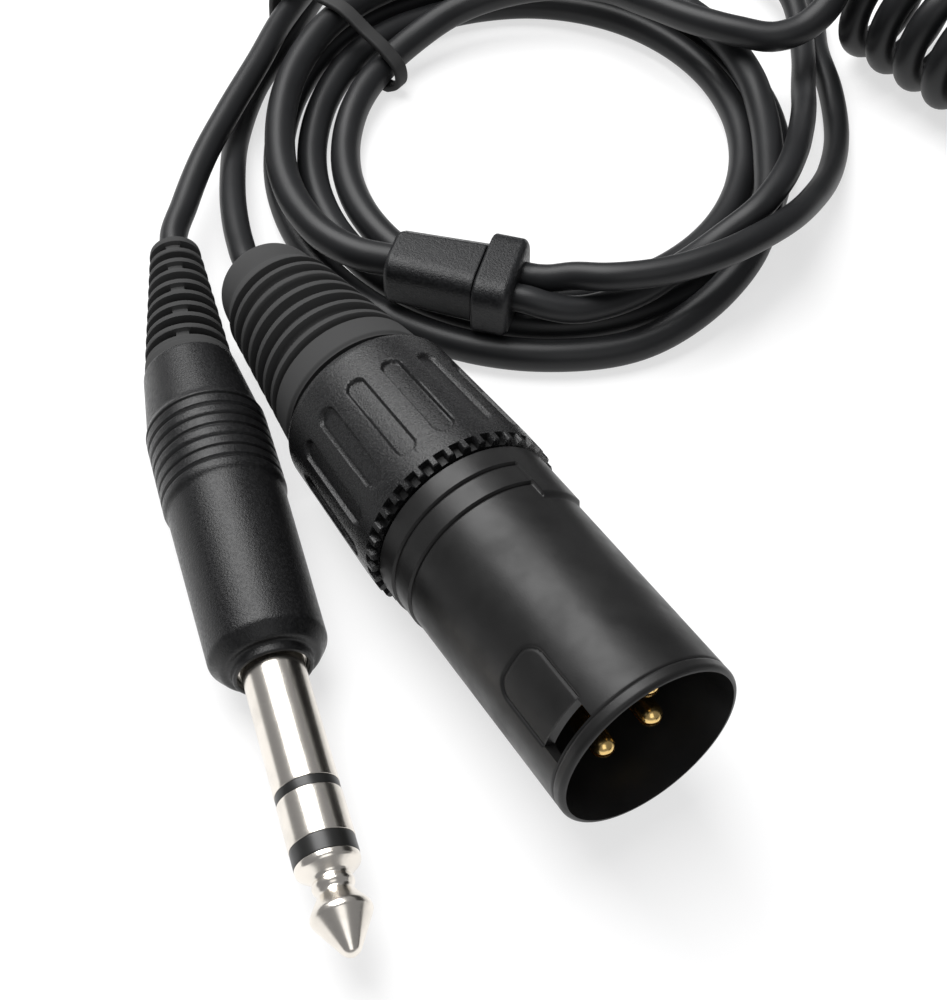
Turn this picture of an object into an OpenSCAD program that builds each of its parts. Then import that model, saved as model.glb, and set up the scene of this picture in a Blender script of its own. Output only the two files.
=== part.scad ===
// Coiled audio adapter cable: a three-pole screw-collar plug and a stereo jack plug on two
// legs, a splitter, a coiled trunk held by a tie, and a curly cord that ends in a small round plug.
// Lengths are in millimetres, the table is z = 0 and the plugs lie on it.

/* [XLR plug] */
// Outer diameter of the shell
shell_d = 19.5; // [18.8:0.1:20.2]
// Length of the shell in front of the collar
shell_len = 31.2; // [29:0.2:34]
// Wall round the socket that the mating plug enters
shell_wall = 1.6; // [1.4:0.05:1.8]
// Depth of that socket
socket_depth = 17; // [15:0.5:19]
// Thickness of the contact carrier
insert_len = 8; // [6:0.5:9]
// Diameter of a contact pin
pin_d = 2.4; // [2:0.1:2.6]
// Radius of the circle that the pins stand on
pin_circle_r = 3.8; // [3.6:0.1:4.4]
// How far the pin tips stay behind the rim
pin_recess = 3; // [2:0.2:6]
// Largest diameter of the screw collar
collar_d = 21.6; // [21.2:0.1:23]
// Diameter of the collar at its rear
collar_rear_d = 20.5; // [19.6:0.1:20.8]
// Length of the collar
collar_len = 20.6; // [20:0.1:23]
// Number of grip flutes round the collar
flute_count = 15; // [8:1:16]
// Number of teeth on the collar's front edge
tooth_count = 38; // [30:1:44]
// Length of the rubber boot behind the collar
boot_len = 25.5; // [22:0.5:26]
// Diameter of the boot's front band
boot_d = 18.6; // [17.6:0.1:19]
// Diameter of the boot at its rear
boot_rear_d = 12.4; // [11.8:0.1:12.6]
// Number of ribs on the boot
boot_ribs = 6; // [4:1:7]

/* [Jack plug] */
// Diameter of the jack finger
jack_d = 6.35; // [6.3:0.01:6.4]
// Length of the finger from handle to tip
jack_len = 31; // [29:0.5:33]
// Length of the moulded handle
handle_len = 40.6; // [38:0.2:45]
// Handle diameter at the grip rings
handle_d = 13.4; // [13:0.1:14.4]
// Handle diameter at its front
handle_front_d = 12.2; // [11.8:0.1:12.8]
// Handle diameter at its rear
handle_rear_d = 10.6; // [10.4:0.1:11.4]
// Length of the slotted strain relief
relief_len = 20.6; // [18:0.2:24]
// Number of rings on the strain relief
relief_rings = 9; // [6:1:11]

/* [Splitter] */
// Length of the splitter body
split_len = 11.2; // [10:0.2:14]
// Width of the body at the trunk end
split_w = 8.4; // [8:0.1:9.4]
// Height of the body
split_h = 6.2; // [6:0.1:7]
// Length of the end cap
cap_len = 4.6; // [4:0.1:6]
// Width of the end cap
cap_w = 11.6; // [11:0.1:13]
// Height of the end cap
cap_h = 7; // [6.8:0.1:8]

/* [Cables] */
// Diameter of the trunk and of the curly cord
trunk_d = 4; // [3.6:0.1:4]
// Diameter of each plug's leg
leg_d = 3.4; // [3:0.1:3.6]
// Clear gap between neighbouring turns of the coil
coil_gap = 0.5; // [0.45:0.05:0.6]
// Radius of the coil where its floor turns start
coil_r = 35.9; // [35.5:0.1:36.5]
// Number of curls in the curly cord
curl_count = 22; // [18:1:24]
// Radius of a curl's centreline
curl_r = 8; // [7:0.1:8.5]
// Clear gap between curls on the straight
curl_gap = 1.05; // [1:0.05:1.4]
// Width of the tie band
tie_w = 2.2; // [1.5:0.1:3]
// Thickness of the tie band
tie_t = 0.9; // [0.6:0.1:1]

/* [Round plug] */
// Outer diameter of the round plug's shell
round_d = 14; // [13:0.1:16]
// Length of the shell
round_len = 26; // [22:0.5:30]
// Bore of its socket
round_socket_d = 10.6; // [9.6:0.1:11]
// Depth of its socket
round_socket_depth = 8; // [6:0.5:9]
// Number of socket contacts
round_contacts = 6; // [4:1:7]
// Length of the round plug's boot
round_boot_len = 16; // [12:0.5:20]
// Travel of the latch button
latch_travel = 0.9; // [0.5:0.1:1]

/* [Hidden] */
$fn = 64;

// Clearances: a seated fit, a running fit, a cable in its hole and one moulded round it
fit = 0.05;
run = 0.15;
cable_clear = 0.2;
cable_snug = 0.1;
seam = 0.1;
wire_d = 1.1;
core_r = 0.95;
skin = 0.01;
wire_lift = 0.2;

// Places on the table: centre of the part, and each plug's reference point and heading; the XLR
// plug rests on its collar's rear edge with its nose raised
part_centre = [15, 104.8];
xlr_at = [-0.6, 90.11];
xlr_heading = -58.05;
xlr_pitch = 4.9;
jack_at = [-19.9, 77.15];
jack_heading = -72.1;
relief_heading = -78.2;
jack_z = handle_d/2;
split_at = [-9.8, 133.4];
split_heading = -16;
split_z = 7.7;
round_at = [62, 46];
round_heading = -90;
round_z = round_d/2;

// XLR plug: stations along its axis, zero at the shell's rear face, forward positive
latch_turn = 232;
strip_turn = 136;
socket_d = shell_d - 2*shell_wall;
insert_front = shell_len - socket_depth;
insert_rear = insert_front - insert_len;
carrier_d = socket_d + 0.5;
rim_round = 1.3;
step_1 = 2.4;
step_2 = 5.2;
step_rise = 0.2;
strip_w = 6;
strip_len = 8;
window_w = 5.6;
window_len = 2;
window_back = 1.5;
arch_w = 5.9;
arch_len = 6.9;
arch_depth = 0.3;
pin_front = shell_len - pin_recess;
cup_d = pin_d + 0.8;
cup_wall = 0.8;
stem_d = pin_d - 0.8;
cup_len = insert_rear - 0.6;
spigot_d = carrier_d - 2*run;
spigot_len = insert_rear - 0.4;
collar_bore = 12.6;
tooth_gap = 0.5;
tooth_len = 1.1;
tooth_depth = 0.8;
tooth_w = 1;
flute_w = 2.4;
flute_len = 12.4;
flute_depth = 0.4;
flute_mid = -9.8;
flute_turn = 176;
collar_edge = 1.4;
xlr_z = collar_rear_d/2*cos(xlr_pitch) + (collar_len - collar_edge)*sin(xlr_pitch) + 0.2;
chuck_d = collar_bore - 2*run;
chuck_rear_d = 8.2;
chuck_front_bore = 8.6;
chuck_slit = 0.9;
boot_spigot_d = 9.4;
boot_spigot_len = 3;
chuck_rear = -collar_len + boot_spigot_len + 0.9;
chuck_shoulder = chuck_rear + 5.8;
chuck_grip_from = chuck_shoulder + 1;
chuck_front = chuck_shoulder + 7;
boot_gap = 0.9;
boot_band = 3.7;
boot_plain = 7;
boot_groove = 0.9;
boot_round = 4.5;
boot_round_in = 1.7;
xlr_cable_end = chuck_grip_from + 0.6;
leg_hole = leg_d + 2*cable_clear;
trunk_hole = trunk_d + 2*cable_clear;

// Jack plug: stations along its axis, zero at the handle's front face, forward positive
ring_back = 15.3;
ring_front = 20;
tip_back = 21.8;
collar_step = 1.4;
root_d = jack_d + 0.8;
tip_rod_d = 1.6;
wall = 0.45;
terminal_back = -6;
jack_cavity_d = 8.6;
jack_cavity_from = -35;
jack_cavity_to = -3.6;
grip_from = -31.6;
grip_rings = 7;
grip_pitch = 1.5;
grip_depth = 0.35;
jack_cable_end = -handle_len + 3;
relief_front_d = 10.2;
relief_rear_d = 6;
relief_web = 2.2;
relief_foot = 1.2;
relief_lean = 0.62;

// Splitter: stations along its axis from the trunk end
split_wide_w = split_w + 1.2;
split_round = 1.2;
split_cable_in = 2.6;
leg_step = leg_d/2 + 2*cable_snug;
split_leg_hole = leg_d + 2*cable_snug;
split_room_w = 4.6;
split_room_h = 2.6;

// Round plug: stations along its axis, zero at the shell's rear face, forward positive
round_wall_d = round_socket_d + 0.4;
round_insert_front = round_len - round_socket_depth;
round_insert_len = 7;
round_contact_d = 1.8;
round_pin_hole = 1;
round_circle_r = 3.2;
latch_len = 7;
latch_w = 4.4;
latch_mid = 6;
latch_out = 1.1;
latch_floor = 1.6;
round_room_d = 9;
round_boot_d = 11;
round_boot_rear_d = 7;
round_boot_ribs = 5;
round_cable_end = -3;
round_fan_d = 6.8;

// Cable coil: an oval spiral on the table with its first turn laid on top
coil_at = [8.5, 162.2];
coil_oval = 1.09;
coil_pitch = trunk_d + coil_gap;
coil_from = 270;
coil_to = 1110;
coil_step = 15;
table_clear = 0.05;
tie_angle = 147;
tie_lift = 1.2;
tie_spread = 40;
trunk_lead = [[-17.8, 137.6, 7.4], [-21.5, 143, 6.9], [-24.2, 149.8, 6.6], [-25.4, 157, 6.6]];
trunk_top = [[165, 33.9, 7.3], [150, 33.6, 7.8], [120, 33.2, 6.9], [90, 32.5, 6.6], [60, 31.6, 6.5],
             [30, 30.7, 6.5], [15, 30.4, 6.4], [0, 30.2, 6.3], [-15, 30.9, 6.4], [-28, 32.6, 6.4],
             [-42, 34.6, 5.4], [-56, 35.7, 3.8], [-70, 36.2, 2.3]];
trunk_climb = [[133, 25.3, 4.1], [115, 25.6, 5.6], [95, 25.6, 7.1]];
trunk_tail = [[18.6, 188.9, 8.3], [24.6, 183.3, 9.6], [30.3, 178, 10.6], [35.7, 174.9, 10.95],
              [41, 173.5, 11], [44.8, 174.5, 11.8], [48.2, 176.8, 14], [50.4, 181.4, 17.2]];
xlr_leg_points = [[8.7, 129.9, 8.1], [11.9, 129.2, 9.2], [15.4, 128, 10.2], [20.3, 128, 10.7],
                  [23.6, 128.6, 10.9], [26.9, 129.7, 11.1], [30.3, 131.3, 11.2], [33.9, 133.8, 11],
                  [37.9, 137.8, 9.9], [43, 145.8, 6.8], [47.1, 154.9, 3.6], [49.6, 164.4, 1.85],
                  [50.1, 174.5, 1.85], [49.5, 182.3, 1.85], [49.6, 194, 1.85], [43, 206, 1.85],
                  [29, 214, 1.85], [10, 216.5, 1.85], [-9, 211, 1.85], [-21.5, 200, 2.2],
                  [-26.7, 184.3, 3.05], [-30.6, 173.4, 2.4], [-32, 163, 2.6], [-31.4, 152.5, 4.5],
                  [-30.2, 144, 6], [-28.7, 137.4, 7]];
jack_leg_points = [[8.6, 126.3, 7.2], [11.9, 126.3, 6.5], [15.7, 127.4, 6.2], [20.8, 130, 6.3],
                   [24.8, 133.3, 6.5], [28.8, 136.3, 7.2], [31.4, 137.9, 8.3], [33.3, 138.9, 9.3],
                   [35, 140.3, 9.9], [36.7, 142.4, 10.3], [38.4, 145.1, 10.5], [40.7, 150.5, 10],
                   [42.5, 156.6, 8.6], [44.2, 163.7, 6.6], [45.4, 170.9, 4.8], [46.5, 178.5, 4.4],
                   [46, 192, 5.4], [40, 204, 5.7], [28, 211.5, 5.7], [10, 214, 5.7], [-8, 209, 5.7],
                   [-20, 199, 6.2], [-26.7, 184.3, 6.9], [-29.6, 173, 7.2], [-32.6, 162.6, 7.1],
                   [-35.1, 152.8, 6.9], [-36.4, 144.6, 6.7]];
tie_loop = [[24.2, 0.55], [33, 0.55], [42, 0.55], [44, 1.6], [44.3, 5.2], [43.4, 8.6], [40.8, 10.3],
            [35, 10.6], [32, 10.3], [28, 8.2], [24.4, 6.2], [22.5, 4.4], [22.4, 2]];
leg_sides = 8;
coil_sides = 6;

// Curly cord: a straight run, a bend and a straight run, all level
curl_at = [56.9, 187.9];
curl_heading = -51.5;
curl_run = 30;
curl_bend_r = 70;
curl_bend_len = 60;
curl_rings = 8;
curl_pitch = trunk_d + curl_gap;
curl_z = curl_r + trunk_d/2 + table_clear;
curly_tail_points = [[74.6, 86, 2.2], [69.2, 84, 2.9], [64.8, 80, 4.5], [62.5, 74.4, 6.2]];

// Vector helpers
function unit(v) = v/norm(v);
function flat(heading) = [cos(heading), sin(heading), 0];
function ahead(heading, pitch) = [cos(pitch)*cos(heading), cos(pitch)*sin(heading), sin(pitch)];
function on_axis(at, z, heading, s, pitch = 0) = [at[0], at[1], z] + s*ahead(heading, pitch);
function oval(p) =
    [coil_at[0] + p[1]*cos(p[0]), coil_at[1] + coil_oval*p[1]*sin(p[0]), p[2]];
function centred(points) = [for (p = points) p - [part_centre[0], part_centre[1], 0]];

// Route of the coil's floor turns: radius falls by one pitch a turn, and the turns rise over the tie
function wrap(a) = a - 360*floor((a + 180)/360);
function over_tie(a) =
    let (d = wrap(a - tie_angle)) abs(d) < tie_spread ? tie_lift*pow(cos(90*d/tie_spread), 2) : 0;
function turn_point(u) =
    oval([180 - u, coil_r - coil_pitch*(u - coil_from)/360,
          trunk_d/2 + table_clear + over_tie(180 - u)]);
function coil_turns() = [for (u = [coil_from:coil_step:coil_to]) turn_point(u)];

// Route of the curls: heading and place along the level axis, then the helix round it
function bend_angle(s) = min(max(s - curl_run, 0), curl_bend_len)/curl_bend_r*180/PI;
function curl_head(s) = curl_heading - bend_angle(s);
function curl_axis(s) =
    let (h = curl_head(s), a = flat(curl_heading), b = flat(h))
    [curl_at[0], curl_at[1], curl_z] + min(s, curl_run)*a
    + curl_bend_r*[a[1] - b[1], b[0] - a[0], 0]
    + max(s - curl_run - curl_bend_len, 0)*b;
function curl_side(s) = flat(curl_head(s) + 90);
function curl_point(t) =
    curl_axis(t*curl_pitch) + curl_r*(sin(360*t)*curl_side(t*curl_pitch) + [0, 0, cos(360*t)]);
curl_turns = curl_count + 0.5;
curl_end_s = curl_turns*curl_pitch;
curl_start = curl_point(0) - trunk_d*curl_side(0);
curl_end = curl_point(curl_turns) - trunk_d*curl_side(curl_end_s);
curl_path = concat([curl_start],
                   [for (i = [0:curl_turns*curl_rings]) curl_point(i/curl_rings)], [curl_end]);
curl_refs = concat([flat(curl_heading)],
                   [for (i = [0:curl_turns*curl_rings]) flat(curl_head(i/curl_rings*curl_pitch))],
                   [flat(curl_head(curl_end_s))]);

// Routes of the trunk, legs and tail, each straight for one diameter where it enters a piece
split_dir = flat(split_heading);
split_left = [-split_dir[1], split_dir[0], 0];
split_face = split_len + cap_len + seam;
function split_point(s, side) = on_axis(split_at, split_z, split_heading, s) + side*split_left;
trunk_path = concat([split_point(split_cable_in, 0), split_point(0, 0), split_point(-trunk_d, 0)],
                    trunk_lead, [for (p = trunk_top) oval(p)], coil_turns(),
                    [for (p = trunk_climb) oval(p)], trunk_tail,
                    [curl_start - trunk_d/2*curl_side(0), curl_start]);
function leg_out(side) =
    [for (s = [split_len - 1, split_face, split_face + 0.4*leg_d]) split_point(s, side*leg_step)];
boot_rear = -collar_len - boot_gap - boot_len;
relief_at = on_axis(jack_at, jack_z, jack_heading, -handle_len);
xlr_leg_path = concat(leg_out(1), xlr_leg_points,
                      [for (s = [boot_rear - leg_d, boot_rear, xlr_cable_end])
                       on_axis(xlr_at, xlr_z, xlr_heading, s, xlr_pitch)]);
jack_leg_path = concat(leg_out(-1), jack_leg_points,
                       [for (s = [-relief_len - 0.6*leg_d, -relief_len, 0])
                        on_axis(relief_at, jack_z, relief_heading, s)],
                       [on_axis(jack_at, jack_z, jack_heading, jack_cable_end)]);
round_rear = -round_boot_len - seam;
curly_tail_path = concat([curl_end, curl_end - trunk_d/2*curl_side(curl_end_s)], curly_tail_points,
                         [on_axis(round_at, round_z, round_heading, round_rear - 1.5*trunk_d),
                          on_axis(round_at, round_z, round_heading, round_rear),
                          on_axis(round_at, round_z, round_heading, round_cable_end)]);

// Least gap of a wound tube to itself, over points at least a given number of rings apart
function least_gap(path, apart, d) =
    min([for (i = [0:len(path) - 1 - apart]) for (j = [i + apart:len(path) - 1])
         norm(path[i] - path[j])]) - d;
echo(coil_least_gap = least_gap(trunk_path, 10, trunk_d));
echo(curl_least_gap = least_gap(curl_path, 5, trunk_d));

// Sweeps of a section along a path; a reference vector keeps each ring upright
function tangent(p, i) = unit(p[min(i + 1, len(p) - 1)] - p[max(i - 1, 0)]);
function ring(p, i, ref, section) =
    let (t = tangent(p, i), n = unit(cross(ref, t)), b = cross(t, n))
    [for (q = section) p[i] + q[0]*n + q[1]*b];
function round_section(d, sides) =
    [for (k = [0:sides - 1]) d/2*[cos(360*(k + 0.5)/sides), sin(360*(k + 0.5)/sides)]];

module tube(path, refs, d, sides) {
    section = round_section(d, sides);
    n = len(path);
    rings = [for (i = [0:n - 1]) ring(path, i, refs[i], section)];
    side_faces = [for (i = [0:n - 2]) for (k = [0:sides - 1])
                  let (a = i*sides + k, b = i*sides + (k + 1) % sides)
                  each [[a, a + sides, b + sides], [a, b + sides, b]]];
    caps = [for (k = [1:sides - 2])
            each [[0, k, k + 1],
                  [(n - 1)*sides, (n - 1)*sides + k + 1, (n - 1)*sides + k]]];
    polyhedron([for (r = rings) each r], concat(side_faces, caps));
}

module level_tube(path, d, sides) {
    tube(centred(path), [for (p = path) [0, 0, 1]], d, sides);
}

// Lays a piece built along +Z on the table, pointing along a heading and raised by a pitch
module lay(at, z, heading, turn = 0, pitch = 0) {
    translate([at[0] - part_centre[0], at[1] - part_centre[1], z])
        rotate([0, 0, heading])
            rotate([0, 90 - pitch, 0])
                rotate([0, 0, turn])
                    children();
}

module in_xlr(turn = 0) { lay(xlr_at, xlr_z, xlr_heading, turn, xlr_pitch) children(); }
module in_jack() { lay(jack_at, jack_z, jack_heading) children(); }
module in_relief() { lay(relief_at, jack_z, relief_heading) children(); }
module in_round(turn = 0) { lay(round_at, round_z, round_heading, turn) children(); }

// A stretch of rod or of bore between two stations
module rod(d, from, to) { translate([0, 0, from]) cylinder(d = d, h = to - from); }

// A straight wire between two points
module wire(a, b, d) {
    v = b - a;
    translate(a)
        rotate([0, acos(v[2]/norm(v)), atan2(v[1], v[0])])
            cylinder(d = d, h = norm(v), $fn = 24);
}

// Points of a round corner or rib, as an arc about a centre
function arc(c, r, from, to, n) =
    [for (i = [0:n]) c + r*[cos(from + (to - from)*i/n), sin(from + (to - from)*i/n)]];

// Place of a contact on its circle, numbered from one side of the key round to the other
function pin_turn(k) = latch_turn + 90*k;
function pin_place(k, z) = [pin_circle_r*cos(pin_turn(k)), pin_circle_r*sin(pin_turn(k)), z];

module shell_profile() {
    r = shell_d/2;
    rotate_extrude()
        polygon(concat([[carrier_d/2, 0], [r + 2*step_rise, 0], [r + 2*step_rise, step_1],
                        [r + step_rise, step_1 + step_rise], [r + step_rise, step_2],
                        [r, step_2 + step_rise]],
                       arc([r - rim_round, shell_len - rim_round], rim_round, 0, 75, 6),
                       [[socket_d/2 + 0.2, shell_len], [socket_d/2, shell_len - 0.4],
                        [socket_d/2, insert_front], [carrier_d/2, insert_front]]));
}

// Marks that cut the shell's skin: the latch window and the bare arch behind it
module latch_window() {
    translate([0, -window_w/2, shell_len - window_back - window_len])
        cube([shell_d, window_w, window_len]);
}

module latch_arch() {
    arch_front = shell_len - window_back - window_len - 0.6;
    intersection() {
        difference() {
            rod(shell_d + 4, 0, shell_len);
            rod(shell_d - 2*arch_depth, -1, shell_len + 1);
        }
        union() {
            translate([0, -arch_w/2, arch_front - arch_len + arch_w/2])
                cube([shell_d, arch_w, arch_len - arch_w/2]);
            translate([0, 0, arch_front - arch_len + arch_w/2])
                rotate([0, 90, 0])
                    cylinder(d = arch_w, h = shell_d);
        }
    }
}

module key_strip() {
    intersection() {
        difference() {
            rod(shell_d + 6*step_rise, 0, strip_len);
            rod(shell_d - 1, -1, strip_len + 1);
        }
        translate([0, -strip_w/2, 0])
            cube([shell_d, strip_w, strip_len]);
    }
}

module xlr_shell() {
    color("#1c1c1e")
        in_xlr()
            difference() {
                union() {
                    shell_profile();
                    rotate(strip_turn)
                        key_strip();
                }
                rotate(latch_turn) {
                    latch_window();
                    latch_arch();
                }
            }
}

module xlr_insert() {
    color("#151515")
        in_xlr()
            difference() {
                rod(carrier_d - 2*fit, insert_rear, insert_front);
                for (k = [1:3])
                    translate(pin_place(k, 0))
                        rod(stem_d + 2*fit, insert_rear - 1, insert_front + 1);
            }
}

// A contact: solder cup, rear stop, straight pin and domed tip
module xlr_contact(k) {
    tip = pin_d/2;
    color("#c9a24a")
        in_xlr()
            translate(pin_place(k, 0))
                difference() {
                    union() {
                        rod(cup_d, insert_rear - fit - cup_len, insert_rear - fit);
                        rod(stem_d, insert_rear - 1, insert_front + 1);
                        rotate_extrude()
                            polygon(concat([[0, insert_front + fit], [tip, insert_front + fit]],
                                           arc([0, pin_front - tip], tip, 0, 90, 8)));
                    }
                    rod(cup_d - 2*cup_wall, insert_rear - cup_len - 1, insert_rear - 1.6);
                }
}

module xlr_conductors() {
    color("#b06a3a")
        in_xlr()
            for (k = [1:3])
                wire([core_r*cos(pin_turn(k)), core_r*sin(pin_turn(k)), xlr_cable_end + wire_lift],
                     pin_place(k, insert_rear - cup_len + 0.5), wire_d);
}

// Collet that grips the cable: a sleeve with four slit jaws on a cone
module xlr_chuck() {
    color("#e4e0d4")
        in_xlr()
            difference() {
                rotate_extrude()
                    polygon([[leg_hole/2, chuck_rear], [chuck_rear_d/2, chuck_rear],
                             [chuck_d/2, chuck_shoulder], [chuck_d/2, chuck_front],
                             [chuck_front_bore/2, chuck_front], [chuck_front_bore/2, chuck_grip_from],
                             [leg_hole/2, chuck_grip_from - 1]]);
                for (turn = [0, 90])
                    rotate(turn)
                        translate([-chuck_d, -chuck_slit/2, chuck_rear - 1])
                            cube([2*chuck_d, chuck_slit, chuck_shoulder - chuck_rear]);
            }
}

module collar_profile() {
    cone = (collar_bore - chuck_rear_d)/2 - run;
    rotate_extrude()
        polygon(concat([[boot_spigot_d/2, -collar_len]],
                       arc([collar_rear_d/2 - collar_edge, -collar_len + collar_edge], collar_edge,
                           -90, 0, 5),
                       [[collar_d/2, -3.4], [collar_d/2, -tooth_gap],
                        [spigot_d/2, -tooth_gap], [spigot_d/2, spigot_len],
                        [collar_bore/2, spigot_len], [collar_bore/2, chuck_shoulder],
                        [collar_bore/2 - cone, chuck_rear], [boot_spigot_d/2, chuck_rear]]));
}

// A flute is a long round-ended cut whose floor follows the collar's taper
module flutes() {
    slope = (collar_d - collar_rear_d)/2/(collar_len - collar_edge - 3.4);
    top = collar_d/2 - flute_depth;
    back = -collar_len;
    intersection() {
        difference() {
            rod(2*collar_d, back, 0);
            translate([0, 0, back - 1])
                cylinder(r1 = top - slope*(collar_len + 1 - 3.4), r2 = top + slope*4.4, h = collar_len + 2);
        }
        for (i = [0:flute_count - 1])
            rotate(flute_turn + 360*i/flute_count)
                translate([collar_d/2 - 2, 0, flute_mid]) {
                    translate([0, -flute_w/2, -(flute_len - flute_w)/2])
                        cube([4, flute_w, flute_len - flute_w]);
                    for (end = [-1, 1])
                        translate([0, 0, end*(flute_len - flute_w)/2])
                            rotate([0, 90, 0])
                                cylinder(d = flute_w, h = 4, $fn = 24);
                }
    }
}

module tooth_notches() {
    for (i = [0:tooth_count - 1])
        rotate(360*i/tooth_count)
            translate([collar_d/2 - tooth_depth, -tooth_w/2, -tooth_gap - tooth_len])
                cube([tooth_depth + 1, tooth_w, tooth_len + 1]);
}

module xlr_collar() {
    color("#222326")
        in_xlr()
            difference() {
                collar_profile();
                flutes();
                tooth_notches();
            }
}

// Rubber boot: a plain front band, rounded ribs and a plain rounded rear
module xlr_boot() {
    front = -collar_len - boot_gap;
    rear = front - boot_len;
    rib_room = boot_len - boot_band - boot_plain;
    pitch = rib_room/boot_ribs;
    function boot_r(z) = boot_d/2 + (boot_rear_d - boot_d)/2*(front - z)/boot_len;
    cap = [for (i = [0:6])
           [boot_rear_d/2 - boot_round_in*(1 - cos(15*i)), rear + boot_round*(1 - sin(15*i))]];
    ribs = [for (i = [0:boot_ribs - 1])
            let (z = front - boot_band - i*pitch, r = boot_r(z - pitch/2))
            each [[r - boot_groove, z], [r - boot_groove, z - 0.25*pitch],
                  [r - 0.25, z - 0.3*pitch], [r, z - 0.45*pitch], [r, z - 0.85*pitch],
                  [r - 0.25, z - pitch]]];
    color("#191919")
        in_xlr()
            rotate_extrude()
                polygon(concat([[leg_hole/2, -collar_len + boot_spigot_len],
                                [boot_spigot_d/2 - fit, -collar_len + boot_spigot_len],
                                [boot_spigot_d/2 - fit, front], [boot_d/2 - 0.5, front],
                                [boot_d/2, front - 0.5], [boot_r(front - boot_band), front - boot_band]],
                               ribs,
                               [[boot_r(rear + boot_plain) - boot_groove, rear + boot_plain],
                                [boot_r(rear + boot_plain), rear + 0.9*boot_plain]],
                               cap, [[leg_hole/2, rear]]));
}

// Jack plug
module jack_handle() {
    grip_to = grip_from + grip_rings*grip_pitch;
    rings = [for (i = [0:grip_rings - 1])
             let (z = grip_from + i*grip_pitch)
             each [[handle_d/2 - grip_depth, z], [handle_d/2 - grip_depth, z + 0.35*grip_pitch],
                   [handle_d/2, z + 0.55*grip_pitch], [handle_d/2, z + 0.95*grip_pitch]]];
    color("#1b1b1c")
        in_jack()
            difference() {
                rotate_extrude()
                    polygon(concat([[0, -handle_len], [handle_rear_d/2 - 0.4, -handle_len],
                                    [handle_rear_d/2, -handle_len + 0.4],
                                    [handle_d/2 - 0.3, grip_from - 0.6]],
                                   rings,
                                   [[handle_d/2 - 0.3, grip_to + 0.5], [handle_front_d/2, -1.4],
                                    [handle_front_d/2 - 1, 0], [root_d/2 + 0.6, 0],
                                    [root_d/2 + 0.5, collar_step], [0, collar_step]]));
                rod(root_d + 2*fit, jack_cavity_to - 1, collar_step + 1);
                rod(jack_cavity_d, jack_cavity_from, jack_cavity_to);
                rod(leg_hole, -handle_len - 1, jack_cavity_from + 1);
            }
}

// Strain relief, bent a little with its cable: rings joined by webs that change sides from gap to gap
module relief_gaps() {
    pitch = (relief_len - relief_foot - 1)/relief_rings;
    gap = 0.45*pitch;
    for (i = [0:relief_rings - 1])
        translate([0, 0, -relief_len + (i + 0.7)*pitch])
            difference() {
                cylinder(d = 2*relief_front_d, h = gap);
                rotate(i % 2 == 0 ? 0 : 90)
                    translate([-relief_front_d, -relief_web/2, -1])
                        cube([2*relief_front_d, relief_web, gap + 2]);
            }
}

module jack_strain_relief() {
    color("#181818")
        difference() {
            union() {
                in_jack()
                    rod(handle_rear_d, -handle_len - relief_foot, -handle_len - fit);
                in_relief()
                    difference() {
                        translate([0, 0, -relief_len])
                            cylinder(d1 = relief_rear_d, d2 = relief_front_d, h = relief_len - relief_lean);
                        relief_gaps();
                    }
            }
            in_jack()
                rod(leg_hole + 0.4, -handle_len - relief_foot, -handle_len + 1);
            in_relief()
                rod(leg_hole, -relief_len - 1, 0);
        }
}

// Nested tubes of the finger, from the sleeve inwards to the tip's rod
rear_tube_d = jack_d - 2*wall - 2*fit;
ring_tube_d = rear_tube_d - 2*wall - 2*fit;
front_tube_d = ring_tube_d - 2*wall - 2*fit;

module jack_sleeve() {
    color("#d9d6d0")
        in_jack()
            difference() {
                union() {
                    rod(jack_d, collar_step, ring_back - 1);
                    rod(root_d, terminal_back + 2, collar_step);
                    rod(jack_cavity_d - 2*fit, terminal_back, terminal_back + 2.4);
                }
                rod(rear_tube_d + 2*fit, terminal_back - 1, ring_back);
            }
}

module jack_rear_insulator() {
    color("#1a1a1a")
        in_jack()
            difference() {
                union() {
                    rod(rear_tube_d, terminal_back - 1, ring_back - 1);
                    rod(jack_d - 0.1, ring_back - 1, ring_back);
                }
                rod(ring_tube_d + 2*fit, terminal_back - 2, ring_back + 1);
            }
}

module jack_ring() {
    color("#d9d6d0")
        in_jack()
            difference() {
                union() {
                    rod(ring_tube_d, terminal_back - 2, ring_back);
                    rod(jack_d, ring_back, ring_front);
                }
                rod(front_tube_d + 2*fit, terminal_back - 3, ring_front + 1);
            }
}

module jack_front_insulator() {
    color("#1a1a1a")
        in_jack()
            difference() {
                union() {
                    rod(front_tube_d, terminal_back - 3, ring_front);
                    rod(jack_d - 0.1, ring_front, tip_back);
                }
                rod(tip_rod_d + 2*fit, terminal_back - 4, tip_back + 1);
            }
}

module jack_tip() {
    tip_r = jack_d/2;
    neck = jack_len - 6;
    bulge = jack_len - 4.4;
    color("#d9d6d0")
        in_jack()
            rotate_extrude()
                polygon([[0, terminal_back - 4], [tip_rod_d/2, terminal_back - 4],
                         [tip_rod_d/2, tip_back], [tip_r - 0.1, tip_back],
                         [tip_r - 0.1, tip_back + 0.6], [tip_r - 1, tip_back + 1.6],
                         [tip_r - 1.5, neck - 0.6], [tip_r - 1.5, neck], [tip_r - 0.4, bulge - 0.4],
                         [tip_r - 0.25, bulge], [tip_r - 0.45, bulge + 0.5], [0.7, jack_len - 0.3],
                         [0.4, jack_len], [0, jack_len]]);
}

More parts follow.
